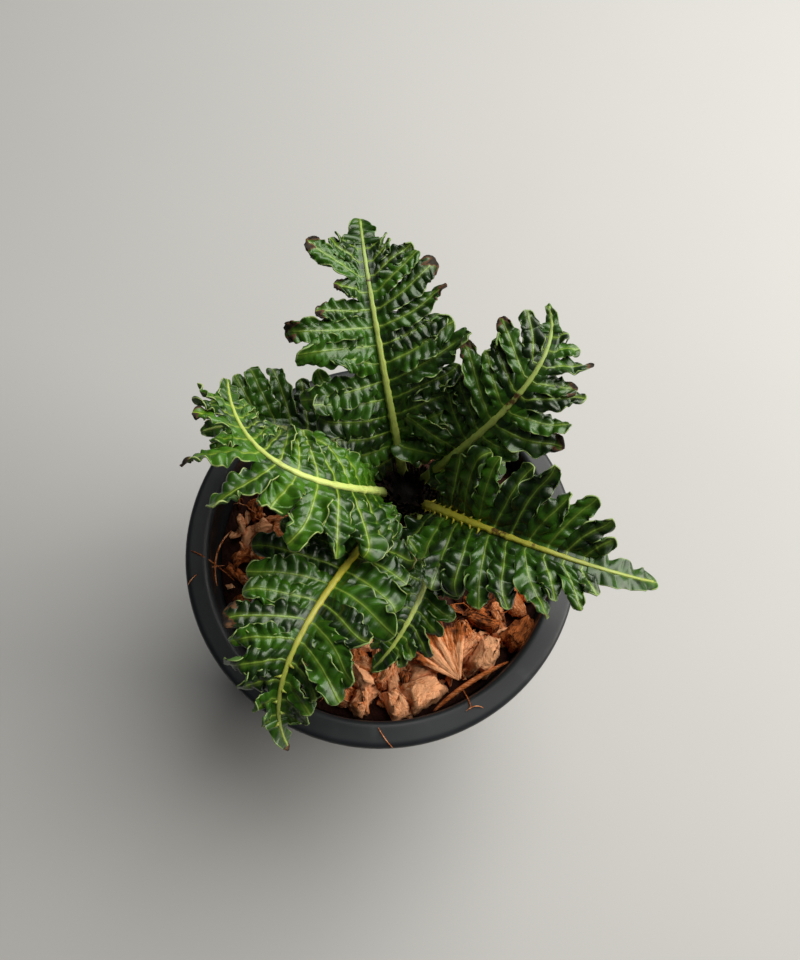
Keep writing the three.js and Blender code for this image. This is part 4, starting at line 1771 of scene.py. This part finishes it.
    def loose_fibres(self, skin: Skin) -> None:
        """Adds loose fibres: short wandering arcs that rest on the chips.

        Args:
            skin: gathers the husk.
        """
        t = np.linspace(-1, 1, 12)
        for k in range(self.fibres):
            reach = (self.plan.inner(self.top) - 7) * math.sqrt((k + 0.5) / self.fibres)
            angle = k * GOLDEN_TURN + 0.4
            heading = math.pi * float(draw(21, k))
            half = float(lerp(*self.fibre_half, (draw(22, k) + 1) / 2))
            bend = wander(t * 3, 23 + k, 6) * 1.2
            x = reach * math.cos(angle) + half * t * math.cos(heading) - bend * math.sin(heading)
            y = reach * math.sin(angle) + half * t * math.sin(heading) + bend * math.cos(heading)
            z = self.top + 2.6 + 1.3 * (1 - t * t) * float(draw(24, k))
            self.strand(skin, stacked(x, y, z), self.fibre_radius, float(draw(25, k)))

    def build(self, material: bpy.types.Material) -> None:
        """Builds the layer as one piece.

        Args:
            material: finish of the husk.
        """
        skin = Skin()
        self.bed(skin)
        self.chips(skin)
        self.small_chips(skin)
        self.landmarks(skin)
        self.loose_fibres(skin)
        report(skin.piece("husk_chip_layer", material, "husk", "husk_chips"))


@dataclass
class Crown:
    """Short stump clad in papery scales."""

    plan: CrownPlan = field(default_factory=CrownPlan)
    husk_top: float = 87
    scales: int = 420
    thickness: float = 0.16
    length: float = 5.2
    length_spread: float = 1.8
    lean: float = 14
    lean_spread: float = 12

    def outline(self) -> Array:
        """Outline (r, z) of the stump from foot to top, as in the solids' source.

        Returns:
            Points (r, z).
        """
        p = self.plan
        return np.array([
            (0.8 * p.radius, p.foot),
            (p.radius, p.foot + 0.6 * p.radius),
            (0.92 * p.radius, self.husk_top),
            (p.radius, p.shoulder - 0.6 * p.radius),
            (0.86 * p.radius, p.shoulder + 2),
            (0.45 * p.radius, p.top - 1),
            (0.1 * p.radius, p.top),
        ])

    def stump(self, skin: Skin) -> None:
        """Adds the stump: the outline resampled finely, turned about its axis and roughened by waves.

        Args:
            skin: gathers the crown.
        """
        outline = self.outline()
        t = np.linspace(0, len(outline) - 1, 40)
        r = np.interp(t, np.arange(len(outline)), outline[:, 0])[:, None] - 0.3
        z = np.interp(t, np.arange(len(outline)), outline[:, 1])[:, None]
        turn = full_turn(40)[None, :]
        r = np.maximum(r + 0.35 * wander(z + 5 * np.sin(2 * turn), 31, 7), 0.4)
        rings = around_axis(r, z, turn, self.plan.x, self.plan.y)
        tube(skin, rings, {"scale_kind": np.zeros(rings.shape)})

    def scale_leaves(self, skin: Skin) -> None:
        """Adds the scales: narrow pointed closed sheets that climb the stump on a golden spiral.

        A scale starts on the stump's surface, rises along it and leans out, and its width follows the
        sine of the share of its length.

        Args:
            skin: gathers the crown.
        """
        k = np.arange(self.scales)
        climb = (k + 0.5) / self.scales
        z = lerp(self.husk_top + 2, self.plan.top - 0.6, climb ** 0.75)
        outline = self.outline()
        r = np.interp(z, outline[:, 1], outline[:, 0])
        angle = k * GOLDEN_TURN
        outward = around_axis(1, 0, angle)
        level = stacked(-np.sin(angle), np.cos(angle), 0)
        foot = outward * (r - 0.5)[:, None] + stacked(self.plan.x, self.plan.y, z - 1.5)
        length = self.length + self.length_spread * draw(41, k)
        spread = np.radians(self.lean + self.lean_spread * draw(42, k))
        s = np.linspace(0, 1, 5)
        v = np.array([-1.0, 0.0, 1.0])
        lean = spread[:, None] * (0.3 + s)
        up = np.array([0, 0, 1.0])
        heading = outward[:, None] * np.sin(lean)[..., None] + up * np.cos(lean)[..., None]
        out = (length[:, None] * s)[..., None] * heading
        side = level[:, None] + 0.25 * column(draw(43, k)) * up
        width = (0.75 * np.sin(np.pi * (0.12 + 0.85 * s)))[None, :, None, None] * v[None, None, :, None]
        cup = (-0.25 * v ** 2)[None, None, :, None] * outward[:, None, None]
        grid = (foot[:, None] + out)[:, :, None] + side[:, :, None] * width + cup
        kind = stacked(s[None, :, None], v[None, None, :], column(draw(44, k)))
        thick = np.full(grid.shape[:3], self.thickness)
        closed_sheets(skin, grid, np.ones(self.scales), thick, {"scale_kind": kind})

    def build(self, material: bpy.types.Material) -> None:
        """Builds stump and scales as one piece.

        Args:
            material: finish of the crown.
        """
        skin = Skin()
        self.scale_leaves(skin)
        skin.values.pop("under")
        self.stump(skin)
        report(skin.piece("scaly_crown", material, "crown_scales", "crown"))


@dataclass(frozen=True)
class Lamp:
    """Square soft light: its centre and side in metres, its power in watts and its colour."""

    name: str
    place: tuple[float, float, float]
    side: float
    power: float
    colour: str


LAMPS = (
    Lamp("skylight", (0.36, 0.42, 0.88), 0.8, 11.5, "fffdf8"),
    Lamp("window", (0.75, 0.02, 0.5), 0.5, 5.4, "fffaf2"),
)


@dataclass
class Studio:
    """Pale floor, soft light from above on the right, and the camera at the photograph's place.

    eye is in millimetres, pitch in degrees, and the focal length and the frame's height in pixels. The
    lights' aim and the floor's half side are in metres.
    """

    eye: tuple[float, float, float] = (5.7, -63.1, 337.3)
    pitch: float = 70.7
    focal_pixels: float = 802
    frame_height: float = 960
    sensor: float = 36
    aim: tuple[float, float, float] = (0.005, 0.0, 0.12)
    floor_half: float = 2
    sky: float = 0.048

    def camera(self) -> None:
        """Places the camera, which looks along +Y and down by the pitch."""
        data = bpy.data.cameras.new("camera")
        data.sensor_width = self.sensor
        data.lens = self.sensor * self.focal_pixels / self.frame_height
        data.clip_start = 0.005
        camera = placed("camera", data)
        camera.location = [c * MM for c in self.eye]
        camera.rotation_euler = (math.radians(90 - self.pitch), 0, 0)
        bpy.context.scene.camera = camera

    def floor(self) -> None:
        """Lays the floor, a large square with faint clouds in its colour."""
        f = Finish("pale_floor")
        f.shade(Base_Color=f.mix(f.noise(3, 4), paint("b8b8b6"), paint("c4c4c2")), Roughness=0.8)
        mesh = bpy.data.meshes.new("floor")
        corners = np.array([(-1, -1, 0), (1, -1, 0), (1, 1, 0), (-1, 1, 0)]) * self.floor_half
        mesh.from_pydata(corners, [], [[0, 1, 2, 3]])
        mesh.materials.append(f.material)
        placed("floor", mesh)

    def hang(self, plan: Lamp) -> None:
        """Hangs a lamp so that it faces the plant.

        Args:
            plan: the lamp.
        """
        data = bpy.data.lights.new(plan.name, "AREA")
        data.shape = "SQUARE"
        data.size = plan.side
        data.energy = plan.power
        data.color = paint(plan.colour)[:3]
        lamp = placed(plan.name, data)
        aim = np.array(self.aim) - np.array(plan.place)
        lamp.location = plan.place
        flat = math.hypot(aim[0], aim[1])
        quarter = math.pi / 2
        pitch, turn = math.atan2(aim[2], flat), math.atan2(aim[1], aim[0])
        lamp.rotation_euler = (quarter + pitch, 0, turn - quarter)

    def build(self) -> None:
        """Sets up camera, floor, lights and the sky's even light."""
        self.camera()
        self.floor()
        for lamp in LAMPS:
            self.hang(lamp)
        world = bpy.data.worlds.new("soft sky")
        world.use_nodes = True
        sky = world.node_tree.nodes["Background"]
        sky.inputs["Color"].default_value = paint("eef2f8")
        sky.inputs["Strength"].default_value = self.sky
        bpy.context.scene.world = world
        bpy.context.scene.view_settings.view_transform = "Standard"


FRONDS = (
    Habit(
        "back", seed=11, root_angle=92, pairs=14, bare=0.16, roll=0,
        shoulder=(5, 15, 141), crest=(-3, 50, 168), tip=(-5, 73.5, 158),
        end=End(0.1, 4.2, 2.4),
        near=Side(84, 20, 0, (9, 22, 15, 10)), far=Side(84, 12, -8, (10, 21, 18, 8)),
        joined=(0.04, 0.06), closing=0.1, fill=1.6, pillow=2.8, relief=(1.1, 0.85),
        scars=((0.765, 0.8),),
        marks=(
            (8, -1, Mark.SCORCHED), (9, -1, Mark.SCORCHED), (10, -1, Mark.BITTEN),
            (11, -1, Mark.SCORCHED), (5, 1, Mark.CURLED), (8, 1, Mark.SCORCHED),
            (9, 1, Mark.SCORCHED),
        ),
        strays=(
            Stray(0, -1, 1.2, 10), Stray(4, -1, 0.9, 4), Stray(5, -1, 1.0, 20), Stray(6, -1, 0.8),
            Stray(7, -1, 1.15, 17), Stray(8, -1, 1.45, 22), Stray(9, -1, 0.9, 24),
            Stray(10, -1, 1.1, 14), Stray(11, -1, 1.3), Stray(12, -1, 0.9), Stray(13, -1, 0.7),
            Stray(0, 1, 1.2, 14), Stray(3, 1, 0.85), Stray(5, 1, 1.15), Stray(6, 1, 1.0, 6),
            Stray(7, 1, 0.95, 10), Stray(8, 1, 1.22, 12), Stray(9, 1, 1.4, 5), Stray(12, 1, 0.8),
            Stray(13, 1, 0.62),
        ),
    ),
    Habit(
        "left", seed=28, root_angle=172, pairs=13, bare=0.19, roll=22,
        shoulder=(2, -2, 158), crest=(-32, -8, 164), tip=(-41, 34, 142),
        end=End(0.1, 3.4, 1.0),
        near=Side(98, 4, -22, (8, 19, 17, 7)), far=Side(94, 4, -26, (9, 16, 13, 6)),
        joined=(0.08, 0.16), closing=0.2, fill=1.35, pillow=3.5, relief=(1.35, 1.35), tone=Tone.BRIGHT,
        leaf=Leaf.BRIGHT,
        marks=(
            (6, -1, Mark.CURLED), (8, -1, Mark.SCORCHED), (10, -1, Mark.SCORCHED),
        ),
        strays=(
            Stray(0, -1, 1.5, 6), Stray(3, -1, 1.0, 10), Stray(4, -1, 0.87), Stray(5, -1, 1.0, -4),
            Stray(6, -1, 0.65, 8), Stray(7, -1, 1.05, 12), Stray(8, -1, 1.3), Stray(9, -1, 0.6),
            Stray(0, 1, 1.1, 16),
        ),
    ),
    Habit(
        "front_left", seed=37, root_angle=226, pairs=11, bare=0.24, roll=0,
        shoulder=(-5, -14, 139), crest=(-30.5, -44, 152), tip=(-23, -60, 120),
        end=End(0.12, 3.4, 1.1, 0.3, 0.9),
        near=Side(84, 20, -2, (12, 20, 16, 4)), far=Side(78, 20, -2, (17, 22, 15, 6)),
        joined=(0.1, 0.1), closing=0.15, fill=1.4, pillow=3.0, relief=(0.5, 1.05), tone=Tone.OLIVE,
        teeth=(0.7, 0.9, 6),
        marks=(
            (7, -1, Mark.CURLED), (5, 1, Mark.SCORCHED),
        ),
        strays=(
            Stray(5, -1, 1.2), Stray(7, -1, 0.8), Stray(8, -1, 0.85), Stray(3, 1, 0.85),
            Stray(6, 1, 1.0, 8), Stray(7, 1, 1.05, 10), Stray(8, 1, 0.75, 10), Stray(9, 1, 0.55),
            Stray(10, 1, 0.5),
        ),
    ),
    Habit(
        "front", seed=41, root_angle=282, pairs=7, bare=0.42, roll=0,
        shoulder=(24, 0, 122), crest=(8, -34, 128), tip=(-2, -40, 116),
        end=End(0.13, 3.0, 1.6),
        near=Side(80, 4, -18, (9, 11, 9, 4)), far=Side(80, 4, -18, (9, 10, 8, 5)),
        joined=(0.1, 0.12), closing=0.1, fill=1.2, pillow=3.4, relief=(0.9, 0.9), tone=Tone.BRIGHT,
        strays=(
            Stray(0, -1, 1.0, 50, 45), Stray(1, -1, 1.0, 12, 20), Stray(0, 1, 1.0, 50, 45),
            Stray(1, 1, 1.0, 12, 20),
        ),
    ),
    Habit(
        "right", seed=53, root_angle=334, pairs=10, bare=0.14, roll=0,
        shoulder=(14, 3.5, 127), crest=(43, -20.5, 156), tip=(70, -21, 139),
        end=End(0.21, 4.2, 2.2, 0.2, 0.25),
        near=Side(80, 38, 18, (11, 20, 19, 7)), far=Side(80, 6, -14, (9, 20, 18, 6)),
        joined=(0.2, 0.2), closing=0.1, fill=1.4, pillow=4.2, relief=(0.85, 1.35), tone=Tone.OLIVE,
        scars=((0.46, 0.55), (0.6, 0.64)), teeth=(0.09, 0.44, 18),
        marks=(
            (6, -1, Mark.CURLED),
        ),
        strays=(
            Stray(0, -1, 1.0, 24), Stray(1, -1, 1.0, 6, 8), Stray(2, -1, 1.1, 0, 14),
            Stray(3, -1, 1.0, 0, 12), Stray(5, -1, 1.0, 6), Stray(7, -1, 1.4, 4), Stray(8, -1, 1.15),
            Stray(0, 1, 1.4, 10), Stray(6, 1, 1.15, -6), Stray(8, 1, 1.1, -4),
        ),
    ),
    Habit(
        "back_right", seed=68, root_angle=42, pairs=11, bare=0.24, roll=0,
        shoulder=(20, 13, 143), crest=(48, 24, 164), tip=(45, 51, 152),
        end=End(0.12, 2.8, 0.5, 1.0),
        near=Side(80, 12, -6, (9, 16, 14, 5)), far=Side(80, -14, -32, (7, 9, 16, 5)),
        joined=(0.08, 0.1), closing=0.1, fill=1.35, pillow=3.6, relief=(1.05, 1.05),
        scars=((0.58, 0.68),),
        marks=(
            (2, -1, Mark.CURLED), (3, -1, Mark.SCORCHED), (4, -1, Mark.SCORCHED),
            (6, -1, Mark.CURLED), (7, -1, Mark.SCORCHED), (4, 1, Mark.SCORCHED),
            (7, 1, Mark.SCORCHED), (8, 1, Mark.SCORCHED),
        ),
        strays=(
            Stray(0, -1, 1.7, 40, 45), Stray(1, -1, 1.2, 22, 30), Stray(2, -1, 1.25),
            Stray(4, -1, 1.2), Stray(7, -1, 1.3), Stray(8, -1, 1.4, -22), Stray(0, 1, 1.5, 24, 30),
            Stray(1, 1, 1.2, 10, 20), Stray(4, 1, 1.35), Stray(5, 1, 1.15), Stray(6, 1, 1.15, -8),
            Stray(7, 1, 0.8), Stray(9, 1, 0.8), Stray(10, 1, 0.6),
        ),
    ),
    Habit(
        "back_left", seed=79, root_angle=132, pairs=9, bare=0.22, roll=0,
        shoulder=(-6, 26, 122), crest=(-36, 28, 134), tip=(-52, 27, 122),
        end=End(0.13, 3.2, 1.0),
        near=Side(84, 2, -14, (8, 13, 12, 7)), far=Side(84, 12, 4, (10, 19, 17, 9)),
        joined=(0.1, 0.1), closing=0.1, fill=1.3, pillow=4.1,
    ),
)


def main() -> None:
    """Builds every sub-assembly in order, then the studio."""
    logging.basicConfig(level=logging.INFO, format="%(message)s")
    Pot().build(PlasticFinish("satin_plastic").material())
    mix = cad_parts["potting_mix"]
    mix.data.materials.clear()
    mix.data.materials.append(SoilFinish("damp_mix").material())
    Husk().build(HuskFinish("coconut_husk").material())
    crown = Crown()
    crown.build(ScaleFinish("papery_scales").material())
    blades = {
        Leaf.DEEP: BladeFinish("leathery_green").material(),
        Leaf.BRIGHT: BladeFinish("fresh_green", "143103", "3c690c", "8ba538", "a3b46c").material(),
    }
    ribs = {tone: RibFinish(f"{tone.name.lower()}_rib", *tone.value).material() for tone in Tone}
    for habit in FRONDS:
        Frond(habit, crown.plan).build(blades[habit.leaf], ribs[habit.tone])
    Studio().build()


if __name__ == "__main__":
    main()
